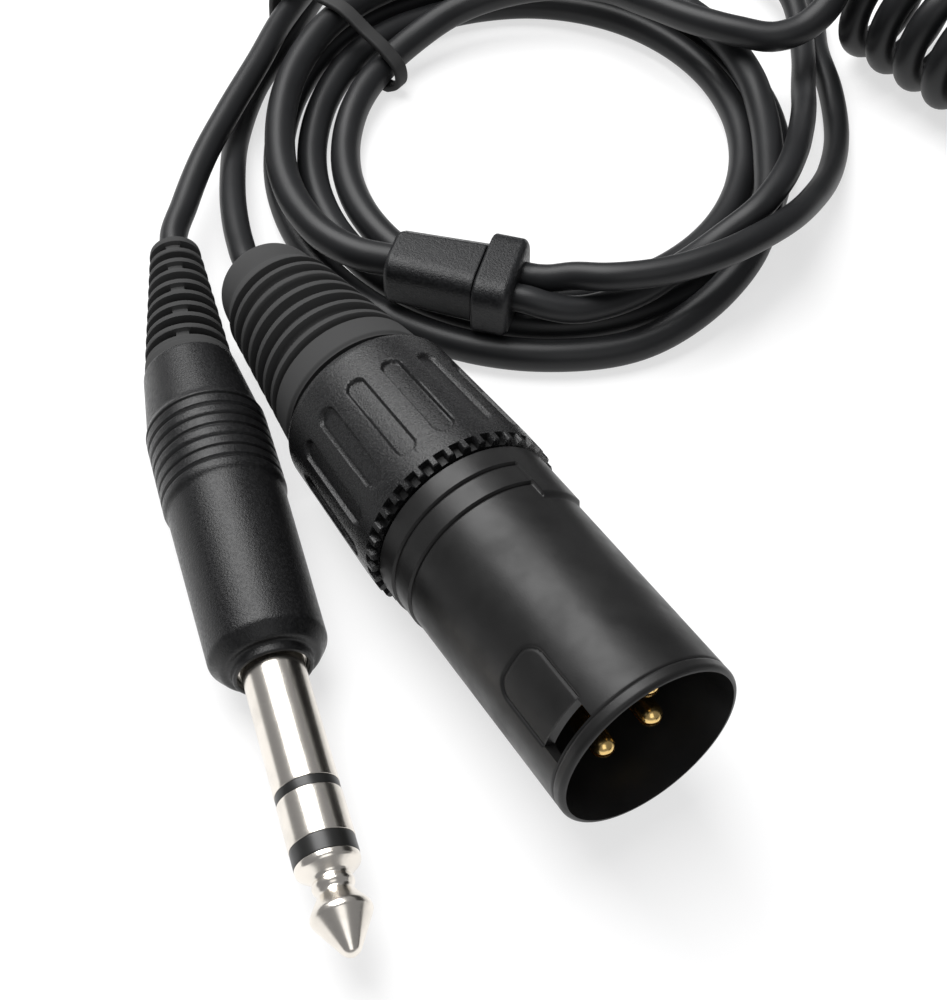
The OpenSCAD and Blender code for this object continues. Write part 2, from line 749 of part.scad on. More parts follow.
module jack_conductors() {
    back = jack_cable_end + skin;
    color("#b06a3a")
        in_jack() {
            wire([0, 0, back], [0, 0, terminal_back - 4 - skin], wire_d);
            wire([1.2, 0, back], [ring_tube_d/2 - 0.05, 0, terminal_back - 2 - skin], wire_d*0.6);
            wire([-1.2, 0, back], [-jack_cavity_d/2 + 0.9, 0, terminal_back - skin], wire_d*0.6);
        }
}

// Splitter: outline seen from above cut by its side view, so that the long edges are bevelled
module in_splitter() {
    translate([split_at[0] - part_centre[0], split_at[1] - part_centre[1], split_z])
        rotate([0, 0, split_heading])
            children();
}

module bevel_section(w, h, b) {
    polygon([[-w/2 + b, -h/2], [w/2 - b, -h/2], [w/2, -h/2 + b], [w/2, h/2 - b], [w/2 - b, h/2],
             [-w/2 + b, h/2], [-w/2, h/2 - b], [-w/2, -h/2 + b]]);
}

module along_x(from, to) {
    translate([from, 0, 0])
        rotate([90, 0, 90])
            linear_extrude(to - from)
                children();
}

module x_hole(d, from, to) {
    translate([from, 0, 0])
        rotate([0, 90, 0])
            cylinder(d = d, h = to - from);
}

module splitter_body() {
    color("#26272a")
        in_splitter()
            difference() {
                intersection() {
                    along_x(0, split_len)
                        bevel_section(split_wide_w, split_h, split_round);
                    translate([0, 0, -split_h])
                        linear_extrude(2*split_h)
                            polygon([[0, -split_w/2 + 0.8], [0.8, -split_w/2],
                                     [split_len, -split_wide_w/2], [split_len, split_wide_w/2],
                                     [0.8, split_w/2], [0, split_w/2 - 0.8]]);
                }
                x_hole(trunk_hole, -1, split_cable_in);
                for (side = [-1, 1])
                    translate([0, side*leg_step, 0])
                        x_hole(split_leg_hole, split_len - 1, split_len + 1);
                translate([split_cable_in - skin, -split_room_w/2, -split_room_h/2])
                    cube([split_len - 1 - split_cable_in + 2*skin, split_room_w, split_room_h]);
            }
}

module splitter_cap() {
    color("#26272a")
        in_splitter()
            difference() {
                along_x(split_len + seam, split_len + seam + cap_len)
                    bevel_section(cap_w, cap_h, split_round);
                for (side = [-1, 1])
                    translate([0, side*leg_step, 0])
                        x_hole(split_leg_hole, split_len - 1, split_len + cap_len + 1);
            }
}

module splitter_conductors() {
    back = split_cable_in + skin;
    front = split_len - 1 - skin;
    color("#b06a3a")
        in_splitter()
            for (side = [-1, 1])
                for (level = [-1, 1])
                    wire([back, side*0.8, level*0.6], [front, side*(leg_step - 0.4), level*0.6],
                         wire_d*0.7);
}

// Cords
module trunk_coil() {
    color("#202124")
        level_tube(trunk_path, trunk_d, coil_sides);
}

module curly_cord() {
    color("#202124")
        tube(centred(curl_path), curl_refs, trunk_d, coil_sides);
}

module curly_tail() {
    color("#202124")
        level_tube(curly_tail_path, trunk_d, leg_sides);
}

module xlr_leg() {
    color("#202124")
        level_tube(xlr_leg_path, leg_d, leg_sides);
}

module jack_leg() {
    color("#202124")
        level_tube(jack_leg_path, leg_d, leg_sides);
}

// Tie: a flat band closed round the bundle, in the upright plane through the coil's centre
module cable_tie() {
    out = unit(oval([tie_angle, 1, 0]) - oval([tie_angle, 0, 0]));
    along = cross([0, 0, 1], out);
    reach = norm(oval([tie_angle, 1, 0]) - oval([tie_angle, 0, 0]));
    n = len(tie_loop);
    points = [for (p = tie_loop)
              oval([tie_angle, 0, 0]) + reach*p[0]*out + [0, 0, p[1]]
              - [part_centre[0], part_centre[1], 0]];
    rings = [for (i = [0:n - 1])
             let (t = unit(points[(i + 1) % n] - points[(i + n - 1) % n]), b = cross(along, t))
             each [points[i] - along*tie_w/2 - b*tie_t/2, points[i] + along*tie_w/2 - b*tie_t/2,
                   points[i] + along*tie_w/2 + b*tie_t/2, points[i] - along*tie_w/2 + b*tie_t/2]];
    faces = [for (i = [0:n - 1]) for (k = [0:3])
             let (a = i*4 + k, b = i*4 + (k + 1) % 4, c = (i + 1) % n*4 + k,
                  d = (i + 1) % n*4 + (k + 1) % 4)
             each [[a, d, c], [a, b, d]]];
    color("#101010")
        polyhedron(rings, faces);
}

// Round plug
module latch_block(len, w, from, to) {
    translate([-to, -w/2, latch_mid - len/2])
        cube([to - from, w, len]);
}

module round_shell() {
    r = round_d/2;
    color("#1d1d1f")
        in_round()
            difference() {
                rotate_extrude()
                    polygon(concat([[round_boot_d/2, 0], [r - 0.6, 0], [r, 0.6]],
                                   arc([r - rim_round, round_len - rim_round], rim_round, 0, 75, 6),
                                   [[round_socket_d/2, round_len],
                                    [round_socket_d/2, round_insert_front],
                                    [round_wall_d/2, round_insert_front],
                                    [round_wall_d/2, round_insert_front - round_insert_len - 1],
                                    [round_room_d/2, round_insert_front - round_insert_len - 1],
                                    [round_room_d/2, 3], [round_boot_d/2, 3]]));
                latch_block(latch_len + 2*run, latch_w + 2*run, r - latch_floor, r + 1);
            }
}

module round_insert() {
    color("#141414")
        in_round()
            difference() {
                rod(round_wall_d - 2*fit, round_insert_front - round_insert_len, round_insert_front - fit);
                for (i = [0:round_contacts - 1])
                    rotate(360*i/round_contacts)
                        translate([round_circle_r, 0, 0])
                            rod(round_contact_d + 2*fit, 0, round_len);
            }
}

module round_contacts_set() {
    back = round_insert_front - round_insert_len - 2;
    color("#c9a24a")
        in_round()
            for (i = [0:round_contacts - 1])
                rotate(360*i/round_contacts)
                    translate([round_circle_r, 0, 0])
                        difference() {
                            rod(round_contact_d, back, round_insert_front - 0.2);
                            rod(round_pin_hole, back + 3, round_insert_front);
                        }
}

module round_latch() {
    r = round_d/2;
    floor_r = r - latch_floor + latch_travel + run;
    color("#2a2a2c")
        in_round()
            difference() {
                latch_block(latch_len, latch_w, floor_r, r + latch_out);
                for (z = [-1.8, 0, 1.8])
                    translate([-r - latch_out - 0.1, -latch_w, latch_mid + z - 0.3])
                        cube([0.4, 2*latch_w, 0.6]);
            }
}

module round_boot() {
    rear = -round_boot_len;
    pitch = (round_boot_len - 4)/round_boot_ribs;
    function boot_r(z) = round_boot_d/2 + (round_boot_d - round_boot_rear_d)/2*z/round_boot_len;
    ribs = [for (i = [0:round_boot_ribs - 1])
            let (z = -2 - i*pitch, r = boot_r(z))
            each [[r, z], [r - 0.7, z - 0.25*pitch], [r - 0.7, z - 0.5*pitch], [r - 0.1, z - 0.75*pitch]]];
    color("#191919")
        in_round()
            rotate_extrude()
                polygon(concat([[round_fan_d/2, 3 - seam], [round_boot_d/2 - fit, 3 - seam],
                                [round_boot_d/2 - fit, -seam], [round_boot_d/2 + 0.8, -seam],
                                [round_boot_d/2 + 0.8, -1.4]],
                               ribs,
                               [[round_boot_rear_d/2, rear + 0.6], [round_boot_rear_d/2 - 0.6, rear],
                                [trunk_hole/2, rear], [trunk_hole/2, round_cable_end],
                                [round_fan_d/2, round_cable_end + 0.6]]));
}

module round_conductors() {
    back = round_insert_front - round_insert_len - 2;
    color("#b06a3a")
        in_round()
            for (i = [0:round_contacts - 1])
                let (a = 360*i/round_contacts)
                wire([1.1*cos(a), 1.1*sin(a), round_cable_end + wire_lift],
                     [round_circle_r*cos(a), round_circle_r*sin(a), back - skin], wire_d*0.7);
}

xlr_shell();
xlr_insert();
xlr_contact(1);  // xlr_contact_1
xlr_contact(2);  // xlr_contact_2
xlr_contact(3);  // xlr_contact_3
xlr_conductors();
xlr_chuck();
xlr_collar();
xlr_boot();
jack_handle();
jack_strain_relief();
jack_sleeve();
jack_rear_insulator();
jack_ring();
jack_front_insulator();
jack_tip();
jack_conductors();
splitter_body();
splitter_cap();
splitter_conductors();
trunk_coil();
curly_cord();
curly_tail();
xlr_leg();
jack_leg();
cable_tie();
round_shell();
round_insert();
round_contacts_set();
round_latch();
round_boot();
round_conductors();
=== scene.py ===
"""Dresses a coiled audio adapter cable: plugs, splitter, cords, tie and a plain studio stage."""

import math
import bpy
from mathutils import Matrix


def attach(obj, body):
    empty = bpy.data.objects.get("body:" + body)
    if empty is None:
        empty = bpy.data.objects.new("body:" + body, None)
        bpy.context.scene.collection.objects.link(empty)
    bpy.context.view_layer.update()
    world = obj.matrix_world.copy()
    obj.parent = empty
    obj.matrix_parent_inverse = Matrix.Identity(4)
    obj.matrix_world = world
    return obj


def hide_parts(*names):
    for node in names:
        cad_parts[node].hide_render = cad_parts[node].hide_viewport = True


bl_info = {
    "name": "Audio Adapter Cable",
    "version": (1, 0, 0),
    "blender": (4, 5, 0),
    "location": "View3D > Sidebar > Cable",
    "description": "Builds the visible pieces of a coiled audio adapter cable round its solid frame",
    "category": "Object",
}

import bmesh
import bpy
import numpy as np

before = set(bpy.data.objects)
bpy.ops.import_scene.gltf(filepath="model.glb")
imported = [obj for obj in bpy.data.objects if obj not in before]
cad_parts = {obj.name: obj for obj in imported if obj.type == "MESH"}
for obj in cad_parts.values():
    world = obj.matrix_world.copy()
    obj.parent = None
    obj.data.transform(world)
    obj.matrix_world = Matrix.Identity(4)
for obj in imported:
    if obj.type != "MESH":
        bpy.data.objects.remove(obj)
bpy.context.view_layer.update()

# The part's centre on the table, and each plug's reference point, heading and pitch, in millimetres and degrees
PART_CENTRE = np.array([15.0, 104.8, 0.0])
XLR = ((-0.6, 90.11, 12.0525), -58.05, 4.9)
JACK = ((-19.9, 77.15, 6.7), -72.1, 0.0)
RELIEF_HEADING = -78.2
SPLITTER = ((-9.8, 133.4, 7.7), -16.0, 0.0)
ROUND = ((62.0, 46.0, 7.0), -90.0, 0.0)
ROUND_REAR = -16.1
UP = np.array([0.0, 0.0, 1.0])

# Turns of the latch window, key strip and first flute round the XLR plug's axis
LATCH_TURN = 232.0
STRIP_TURN = 136.0
FLUTE_TURN = 176.0

# Thickness of the contact carrier, and gaps of the boot off its collar, the splitter's cap and a cord off the table
CARRIER_LEN = 8.0
BOOT_GAP = 0.9
SPLIT_GAP = 0.1
TABLE_GAP = 0.05

# Stage: reach and drop of the floor, its own glow, the world's strength, and each lamp's place, aim, size and power
FLOOR_REACH, FLOOR_DROP, FLOOR_GLOW = 1.6, 0.00002, 0.66
WORLD_COLOUR, WORLD_STRENGTH = (0.96, 0.97, 1.0, 1), 0.25
LAMPS = {
    "key_lamp": ((-0.17, 0.21, 0.48), (-0.02, -0.02, 0.0), (0.38, 0.6), 4.9),
    "fill_lamp": ((0.1, -0.4, 0.35), (0.0, -0.04, 0.0), (0.25, 0.35), 0.35),
}


def mm(*lengths):
    """Property lengths, held in metres, as millimetres."""
    return [1000 * v for v in lengths]


def smooth(x, low, high):
    """Smoothstep: 3t^2 - 2t^3 with t = (x - low)/(high - low) held between 0 and 1."""
    t = np.clip((x - low) / (high - low), 0, 1)
    return t * t * (3 - 2 * t)


def bell(x, width):
    """Bell curve exp(-(x/width)^2)."""
    return np.exp(-((x / width) ** 2))


def wrapped(x, period=360):
    """x less the nearest whole number of periods."""
    return (x + period / 2) % period - period / 2


def span(vectors):
    """Lengths of vectors, as a column beside them."""
    return np.linalg.norm(vectors, axis=-1, keepdims=True)


def heading_vector(heading):
    """Level unit vector along a heading in degrees."""
    return np.array([math.cos(math.radians(heading)), math.sin(math.radians(heading)), 0.0])


def axes(place):
    """Unit vectors down from, to the left of and along a plug's axis at its heading and pitch."""
    h, p = np.radians(place[1:])
    ahead = np.array([math.cos(p) * math.cos(h), math.cos(p) * math.sin(h), math.sin(p)])
    left = np.array([-math.sin(h), math.cos(h), 0.0])
    return np.stack([np.cross(left, ahead), left, ahead])


def on_axis(place, station, side=0.0):
    """Table point at a station along a plug's axis, moved to its left by side."""
    return np.array(place[0]) + np.array([0.0, side, station]) @ axes(place)


def lay(points, place):
    """Lays points built along +Z on the table: z runs along the axis, y to its left and x down."""
    return points @ axes(place) + np.array(place[0]) - PART_CENTRE


def filleted(corners, radius, closed=True, steps=5):
    """Rounds an outline's corners: each becomes a quadratic arc between points one reach before and after it.

    The reach is the radius, or 0.45 of the shorter neighbouring side where that is less.
    """
    p = np.asarray(corners, float)
    back, ahead = np.roll(p, 1, -2) - p, np.roll(p, -1, -2) - p
    back_len, ahead_len = span(back) + 1e-9, span(ahead) + 1e-9
    reach = np.minimum(np.asarray(radius)[..., None], 0.45 * np.minimum(back_len, ahead_len))
    start = (p + back * (reach / back_len))[..., None, :]
    end = (p + ahead * (reach / ahead_len))[..., None, :]
    t = np.linspace(0, 1, steps)[:, None]
    curve = (1 - t) ** 2 * start + 2 * t * (1 - t) * p[..., None, :] + t**2 * end
    if not closed:
        curve[..., 0, :, :] = p[..., :1, :]
        curve[..., -1, :, :] = p[..., -1:, :]
    return curve.reshape(p.shape[:-2] + (-1, p.shape[-1]))


def dense(points, step, closed=True):
    """Cuts each side of an outline into equal pieces no longer than step."""
    p = np.asarray(points, float)
    start = p if closed else p[:-1]
    sides = (np.roll(p, -1, 0) - p)[: len(start)]
    count = np.maximum(1, np.ceil(span(sides)[:, 0] / step)).astype(int)
    side = np.repeat(np.arange(len(count)), count)
    t = (np.arange(count.sum()) - np.repeat(np.cumsum(count) - count, count)) / count[side]
    out = start[side] + t[:, None] * sides[side]
    return out if closed else np.vstack([out, p[-1:]])


def outline(corners, radius, step, closed=True, steps=5):
    """Profile with rounded corners, cut into short pieces."""
    return dense(filleted(corners, radius, closed, steps), step, closed)


def turned(profile, sides, shape=None):
    """Surface of revolution (r cos a, r sin a, z) of a profile of r and z; shape may change r by a and z.

    Returns the grid and how far each point lies below the plain profile.
    """
    a = np.linspace(0, 2 * math.pi, sides, endpoint=False) if np.isscalar(sides) else np.radians(sides)
    r = np.repeat(profile[:, :1], len(a), 1)
    z = np.repeat(profile[:, 1:], len(a), 1)
    cut = r if shape is None else shape(np.degrees(a)[None, :], r, z)
    return np.stack([cut * np.cos(a), cut * np.sin(a), z], -1), r - cut


def smooth_path(points, step):
    """Cubic Hermite curve through points, resampled to equal steps of its own length.

    The slope at a point is the mean of its two chords' slopes, each weighted by the other chord's length.
    """
    p = np.asarray(points, float)
    chord = span(np.diff(p, axis=0))
    slope = np.diff(p, axis=0) / chord
    inner = (slope[:-1] * chord[1:] + slope[1:] * chord[:-1]) / (chord[:-1] + chord[1:])
    m = np.vstack([slope[:1], inner, slope[-1:]])
    t = np.linspace(0, 1, 24, endpoint=False)[None, :, None]
    fine = (
        (2 * t**3 - 3 * t**2 + 1) * p[:-1, None]
        + (t**3 - 2 * t**2 + t) * (m[:-1] * chord)[:, None]
        + (3 * t**2 - 2 * t**3) * p[1:, None]
        + (t**3 - t**2) * (m[1:] * chord)[:, None]
    )
    fine = np.vstack([fine.reshape(-1, 3), p[-1:]])
    s = np.r_[0, np.cumsum(span(np.diff(fine, axis=0)))]
    at = np.linspace(0, s[-1], max(2, int(round(s[-1] / step)) + 1))
    return np.stack([np.interp(at, s, fine[:, k]) for k in range(3)], -1)


def swept(path, up, radius):
    """Rings of radius r(s, a) along a path: p + r cos a n + r sin a b, with n = up x t and b = t x n."""
    t = np.gradient(path, axis=0)
    t /= span(t)
    n = np.cross(up, t)
    n /= span(n)
    b = np.cross(t, n)
    a = np.linspace(0, 2 * math.pi, radius.shape[1], endpoint=False)[None, :, None]
    return path[:, None] + radius[:, :, None] * (np.cos(a) * n[:, None] + np.sin(a) * b[:, None])


def lofted(stations, corners, radii, ends):
    """Loft along x: rounded sections of y and z corners, drawn in at each end by a quarter circle.

    The inset at a distance x from an end is e - sqrt(e^2 - (e - x)^2) for x below the end's radius e.
    """
    x = stations - stations[0]
    near = np.minimum(np.maximum(ends[0] - x, 0), ends[0])
    far = np.minimum(np.maximum(ends[1] - (x[-1] - x), 0), ends[1])
    inset = ends[0] - np.sqrt(ends[0] ** 2 - near**2) + ends[1] - np.sqrt(ends[1] ** 2 - far**2)
    pull = np.clip(np.abs(corners) - inset[:, None, None], 0, None) * np.sign(corners)
    section = filleted(pull, radii, True, 9)
    return np.concatenate([np.broadcast_to(stations[:, None, None], section.shape[:2] + (1,)), section], -1)


def grid_faces(rows, columns, closed):
    """Quads of a grid whose columns wrap round, and whose rows do too where closed."""
    i = np.arange(rows if closed else rows - 1)[:, None]
    j = np.arange(columns)[None, :]
    i2, j2 = (i + 1) % rows, (j + 1) % columns
    return np.stack([i * columns + j, i * columns + j2, i2 * columns + j2, i2 * columns + j], -1)


def add_object(name, data):
    """A new object of the scene that holds the data."""
    thing = bpy.data.objects.new(name, data)
    bpy.context.scene.collection.objects.link(thing)
    return thing


def add_piece(name, grids, finish, node, body="cable_set", sharp=38.0, faces=None):
    """Joins grids, each (points, hollow, closed), into one mesh piece that rides on a body in place of a node.

    Open grids get a face over each end. Points that meet are merged, and faces turn outwards.
    """
    points, hollows, quads, first = [], [], [], 0
    for grid, hollow, closed in grids:
        rows, columns = grid.shape[:2]
        points.append(grid.reshape(-1, 3))
        hollows.append(np.broadcast_to(hollow, (rows, columns)).reshape(-1))
        quads += (grid_faces(rows, columns, closed).reshape(-1, 4) + first).tolist()
        if not closed:
            ring = np.arange(columns) + first
            quads += [ring.tolist(), (ring[::-1] + (rows - 1) * columns).tolist()]
        first += rows * columns
    mesh = bpy.data.meshes.new(name)
    mesh.from_pydata((np.vstack(points) * 0.001).tolist(), [], faces or quads)
    attribute = mesh.attributes.new("hollow", "FLOAT", "POINT")
    attribute.data.foreach_set("value", np.concatenate(hollows).astype(np.float32))
    work = bmesh.new()
    work.from_mesh(mesh)
    bmesh.ops.remove_doubles(work, verts=work.verts, dist=1e-7)
    bmesh.ops.recalc_face_normals(work, faces=work.faces)
    work.to_mesh(mesh)
    work.free()
    mesh.shade_smooth()
    mesh.set_sharp_from_angle(angle=math.radians(sharp))
    mesh.materials.append(finish)
    piece = add_object(name, mesh)
    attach(piece, body)
    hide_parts(node)
    return piece


class Value:
    """A node socket; a sum or product with it adds its Math node."""

    def __init__(self, finish, socket):
        self.finish = finish
        self.socket = socket

    def math(self, operation, other):
        return self.finish.node("ShaderNodeMath", {"operation": operation}, {0: self, 1: other})

    def __add__(self, other):
        return self.math("ADD", other)

    def __mul__(self, other):
        return self.math("MULTIPLY", other)

    __radd__ = __add__
    __rmul__ = __mul__


class Finish:
    """A procedural material under construction."""

    def __init__(self, name):
        self.material = bpy.data.materials.new(name)
        self.material.use_nodes = True
        self.tree = self.material.node_tree
        self.tree.nodes.clear()

    def node(self, kind, settings=None, inputs=None, output=0):
        """Adds a node, sets its settings, then the values or links of its sockets."""
        node = self.tree.nodes.new(kind)
        for key, value in (settings or {}).items():
            setattr(node, key, value)
        for key, value in (inputs or {}).items():
            if isinstance(value, Value):
                self.tree.links.new(value.socket, node.inputs[key])
            else:
                node.inputs[key].default_value = value
        return Value(self, node.outputs[output])

    def place(self):
        """Object coordinates in metres."""
        return self.node("ShaderNodeTexCoord", output="Object")

    def noise(self, size, detail=2.0, rough=0.5):
        """Noise from 0 to 1 whose features are about size metres across."""
        inputs = {"Vector": self.place(), "Scale": 1 / size, "Detail": detail, "Roughness": rough}
        return self.node("ShaderNodeTexNoise", None, inputs)

    def ramp(self, value, low, high):
        """Value carried from low..high onto 0..1, smoothly and held at the ends."""
        settings = {"interpolation_type": "SMOOTHSTEP"}
        return self.node("ShaderNodeMapRange", settings, {"Value": value, "From Min": low, "From Max": high})

    def hollow(self):
        """How far the surface lies below its plain form, in millimetres."""
        return self.node("ShaderNodeAttribute", {"attribute_name": "hollow"}, None, "Fac")

    def mix(self, factor, first, second):
        """Colour between two colours."""
        return self.node("ShaderNodeMix", {"data_type": "RGBA"}, {0: factor, 6: first, 7: second}, 2)

    def tones(self, factor, key, low, high):
        """Colour between low and high times a named base colour."""
        return self.mix(factor, tone(key, low), tone(key, high))

    def bump(self, height, strength, distance):
        """Normal of a surface raised by height times distance metres."""
        return self.node("ShaderNodeBump", None, {"Height": height, "Strength": strength, "Distance": distance})

    def surface(self, **sockets):
        """Closes the material with a Principled shader; socket names have _ for a space."""
        inputs = {key.replace("_", " "): value for key, value in sockets.items()}
        return self.close(self.node("ShaderNodeBsdfPrincipled", None, inputs))

    def close(self, shader):
        """Links a shader to the output; returns the material."""
        out = self.tree.nodes.new("ShaderNodeOutputMaterial")
        self.tree.links.new(shader.socket, out.inputs["Surface"])
        return self.material


def shade(colour, factor):
    """A colour times a factor, with its alpha."""
    return tuple(min(1.0, c * factor) for c in colour) + (1.0,)


def tone(key, factor):
    """A named base colour times a factor."""
    return shade(getattr(bpy.context.scene.cable_colours, key), factor)


def finish_of(build, *key):
    """The material that a function builds, made on first use and named after the key and the function."""
    name = "_".join((*key, build.__name__))
    return bpy.data.materials.get(name) or build(Finish(name), *key)


def satin_shell(f):
    """Smooth satin moulding: cloudy gloss, faint handling marks, a very fine grain and painted shade where the skin
    is cut.
    """
    cloud = f.noise(0.006, 3.0)
    # Painted shade: the colour darkens where the skin is cut, in the step grooves, the sunk arch and the groove
    # behind the rim
    painted_groove_shade = f.ramp(f.hollow(), 0.05, 0.2)
    base = f.tones(f.ramp(cloud, 0.3, 0.75), "shell", 0.8, 1.3)
    return f.surface(
        Base_Color=f.mix(painted_groove_shade, base, tone("shell", 0.3)),
        Roughness=0.33 + 0.16 * f.ramp(f.noise(0.0045, 3.0, 0.6), 0.25, 0.75) + 0.2 * painted_groove_shade,
        Normal=f.bump(f.noise(0.00022) + 0.5 * cloud, 0.12, 0.00004),
        Specular_IOR_Level=0.3,
    )


# Each grain's size in metres, bump strength, least roughness, and the cut in millimetres from which shade is painted
GRAINS = {
    "collar": (0.0002, 0.8, 0.2, 0.45),
    "handle": (0.0002, 0.6, 0.28, 0.05),
    "splitter": (0.00026, 0.9, 0.34, 0.45),
}


def grain(f, key):
    """Spark-eroded moulding: coarse bright grain, with painted shade that darkens it where the form is cut."""
    size, strength, gloss, cut = GRAINS[key]
    pits = f.ramp(f.noise(size * 1.7), 0.35, 0.7)
    # Painted shade: the colour darkens in notches and grooves cut deeper than the grain's cut
    painted_shade = f.ramp(f.hollow(), cut, cut + 0.2)
    return f.surface(
        Base_Color=f.mix(painted_shade, f.tones(pits, key, 0.75, 1.25), tone(key, 0.3)),
        Roughness=gloss + 0.14 * pits + 0.25 * painted_shade,
        Normal=f.bump(f.noise(size, 3.0, 0.65), strength, 0.00008),
        Specular_IOR_Level=0.32,
    )


def boot_rubber(f):
    """Matt rubber with a soft mottle, specks of lint and painted shade in its grooves and gaps."""
    mottle = f.noise(0.0012, 4.0, 0.6)
    lint = f.ramp(f.noise(0.0005, 1.0), 0.76, 0.8)
    # Painted shade: the colour darkens where the surface is cut, in the ribs' grooves and the relief's gaps
    painted_shade = f.ramp(f.hollow(), 0.05, 0.45)
    base = f.tones(f.ramp(mottle, 0.3, 0.7), "boot", 0.8, 1.2)
    wear_and_groove_shade = f.mix(painted_shade, base, tone("boot", 0.2))
    return f.surface(
        Base_Color=f.mix(lint * 0.6, wear_and_groove_shade, (0.16, 0.15, 0.14, 1)),
        Roughness=0.32 + 0.14 * mottle + 0.4 * painted_shade,
        Normal=f.bump(mottle + 0.4 * f.noise(0.00025), 0.12, 0.00006),
        Specular_IOR_Level=0.1,
    )


def cable_jacket(f):
    """Soft satin jacket: slow shade changes, a fine matt skin and a few scuffs."""
    slow = f.noise(0.011)
    scuff = f.ramp(f.noise(0.0024, 5.0, 0.7), 0.62, 0.8)
    base = f.tones(f.ramp(slow, 0.3, 0.7), "cable", 0.82, 1.18)
    return f.surface(
        Base_Color=f.mix(scuff * 0.25, base, tone("cable", 1.9)),
        Roughness=0.38 + 0.1 * slow + 0.08 * scuff,
        Normal=f.bump(f.noise(0.00035, 3.0, 0.6), 0.08, 0.00005),
        Specular_IOR_Level=0.32,
    )


def dark_moulding(f):
    """Plain dark moulding with a faint flow pattern."""
    flow = f.noise(0.002, 3.0)
    return f.surface(
        Base_Color=f.tones(flow, "insulator", 0.7, 1.3),
        Roughness=0.28 + 0.14 * flow,
        Normal=f.bump(f.noise(0.0003), 0.06, 0.00004),
    )


def tie_plastic(f):
    """Tie band: dull black plastic with fine marks."""
    mark = f.noise(0.0006, 4.0, 0.6)
    return f.surface(
        Base_Color=f.tones(mark, "tie", 0.7, 1.3),
        Roughness=0.4 + 0.15 * mark,
        Normal=f.bump(mark, 0.12, 0.00005),
    )


def turned_nickel(f):
    """Bright nickel on turned brass: rings of fine tool marks along the finger's axis and faint tarnish."""
    turn = (0.0, 0.0, math.radians(-JACK[1]))
    at = f.node("ShaderNodeMapping", None, {"Vector": f.place(), "Rotation": turn})
    along = f.node("ShaderNodeSeparateXYZ", None, {0: at}, "X")
    inputs = {"W": along, "Scale": 7000.0, "Detail": 3.0}
    marks = f.node("ShaderNodeTexNoise", {"noise_dimensions": "1D"}, inputs)
    tarnish = f.ramp(f.noise(0.004, 4.0, 0.6), 0.35, 0.75)
    return f.surface(
        Base_Color=f.tones(tarnish, "nickel", 1.0, 0.86),
        Metallic=1.0,
        Roughness=0.19 + 0.06 * tarnish + 0.05 * marks,
        Normal=f.bump(marks, 0.03, 0.00002),
    )


def contact_gold(f):
    """Plated gold with small changes of gloss."""
    wear_and_groove_shade = f.noise(0.0008, 3.0)
    return f.surface(
        Base_Color=f.tones(wear_and_groove_shade, "gold", 0.85, 1.1),
        Metallic=1.0,
        Roughness=0.16 + 0.14 * wear_and_groove_shade,
        Normal=f.bump(wear_and_groove_shade, 0.04, 0.00003),
    )


def stranded_copper(f):
    """Stranded copper with a fine uneven shade."""
    strands = f.noise(0.0003)
    return f.surface(
        Base_Color=f.mix(strands, (0.55, 0.24, 0.11, 1), (0.8, 0.42, 0.22, 1)),
        Metallic=1.0,
        Roughness=0.3 + 0.2 * strands,
        Normal=f.bump(strands, 0.2, 0.00005),
    )


def grip_nylon(f):
    """Pale nylon with a waxy mottle."""
    wax = f.noise(0.0015, 3.0)
    return f.surface(
        Base_Color=f.mix(wax, (0.62, 0.6, 0.53, 1), (0.76, 0.74, 0.68, 1)),
        Roughness=0.38 + 0.14 * wax,
        Normal=f.bump(f.noise(0.0004), 0.08, 0.00005),
        Subsurface_Weight=0.1,
    )


def tint(name, colour, words):
    return bpy.props.FloatVectorProperty(
        name=name, description=words, subtype="COLOR", size=3, default=colour, min=0.0, max=1.0
    )


def metres(name, value, words):
    return bpy.props.FloatProperty(
        name=name, description=words, default=value, min=0.0, subtype="DISTANCE", unit="LENGTH", precision=5
    )


def number(name, value, least, words):
    return bpy.props.IntProperty(name=name, description=words, default=value, min=least)


class CableColours(bpy.types.PropertyGroup):
    """Base colours of the finishes."""

    shell: tint("Shell", (0.0092, 0.009, 0.0089), "Satin shell of the three-pole plug")
    collar: tint("Collar", (0.0092, 0.0092, 0.0096), "Grained screw collar")
    boot: tint("Boot", (0.0055, 0.0055, 0.0057), "Rubber boots and strain relief")
    handle: tint("Handle", (0.0078, 0.0078, 0.0082), "Moulded jack handle")
    splitter: tint("Splitter", (0.0085, 0.0088, 0.0096), "Grained splitter")
    cable: tint("Cable", (0.0095, 0.0098, 0.0106), "Cable jacket")
    insulator: tint("Insulator", (0.01, 0.01, 0.0095), "Insulating rings and contact carriers")
    tie: tint("Tie", (0.024, 0.0245, 0.026), "Tie band")
    nickel: tint("Nickel", (0.86, 0.81, 0.74), "Plating of the jack finger")
    gold: tint("Gold", (0.86, 0.6, 0.24), "Plating of the contacts")


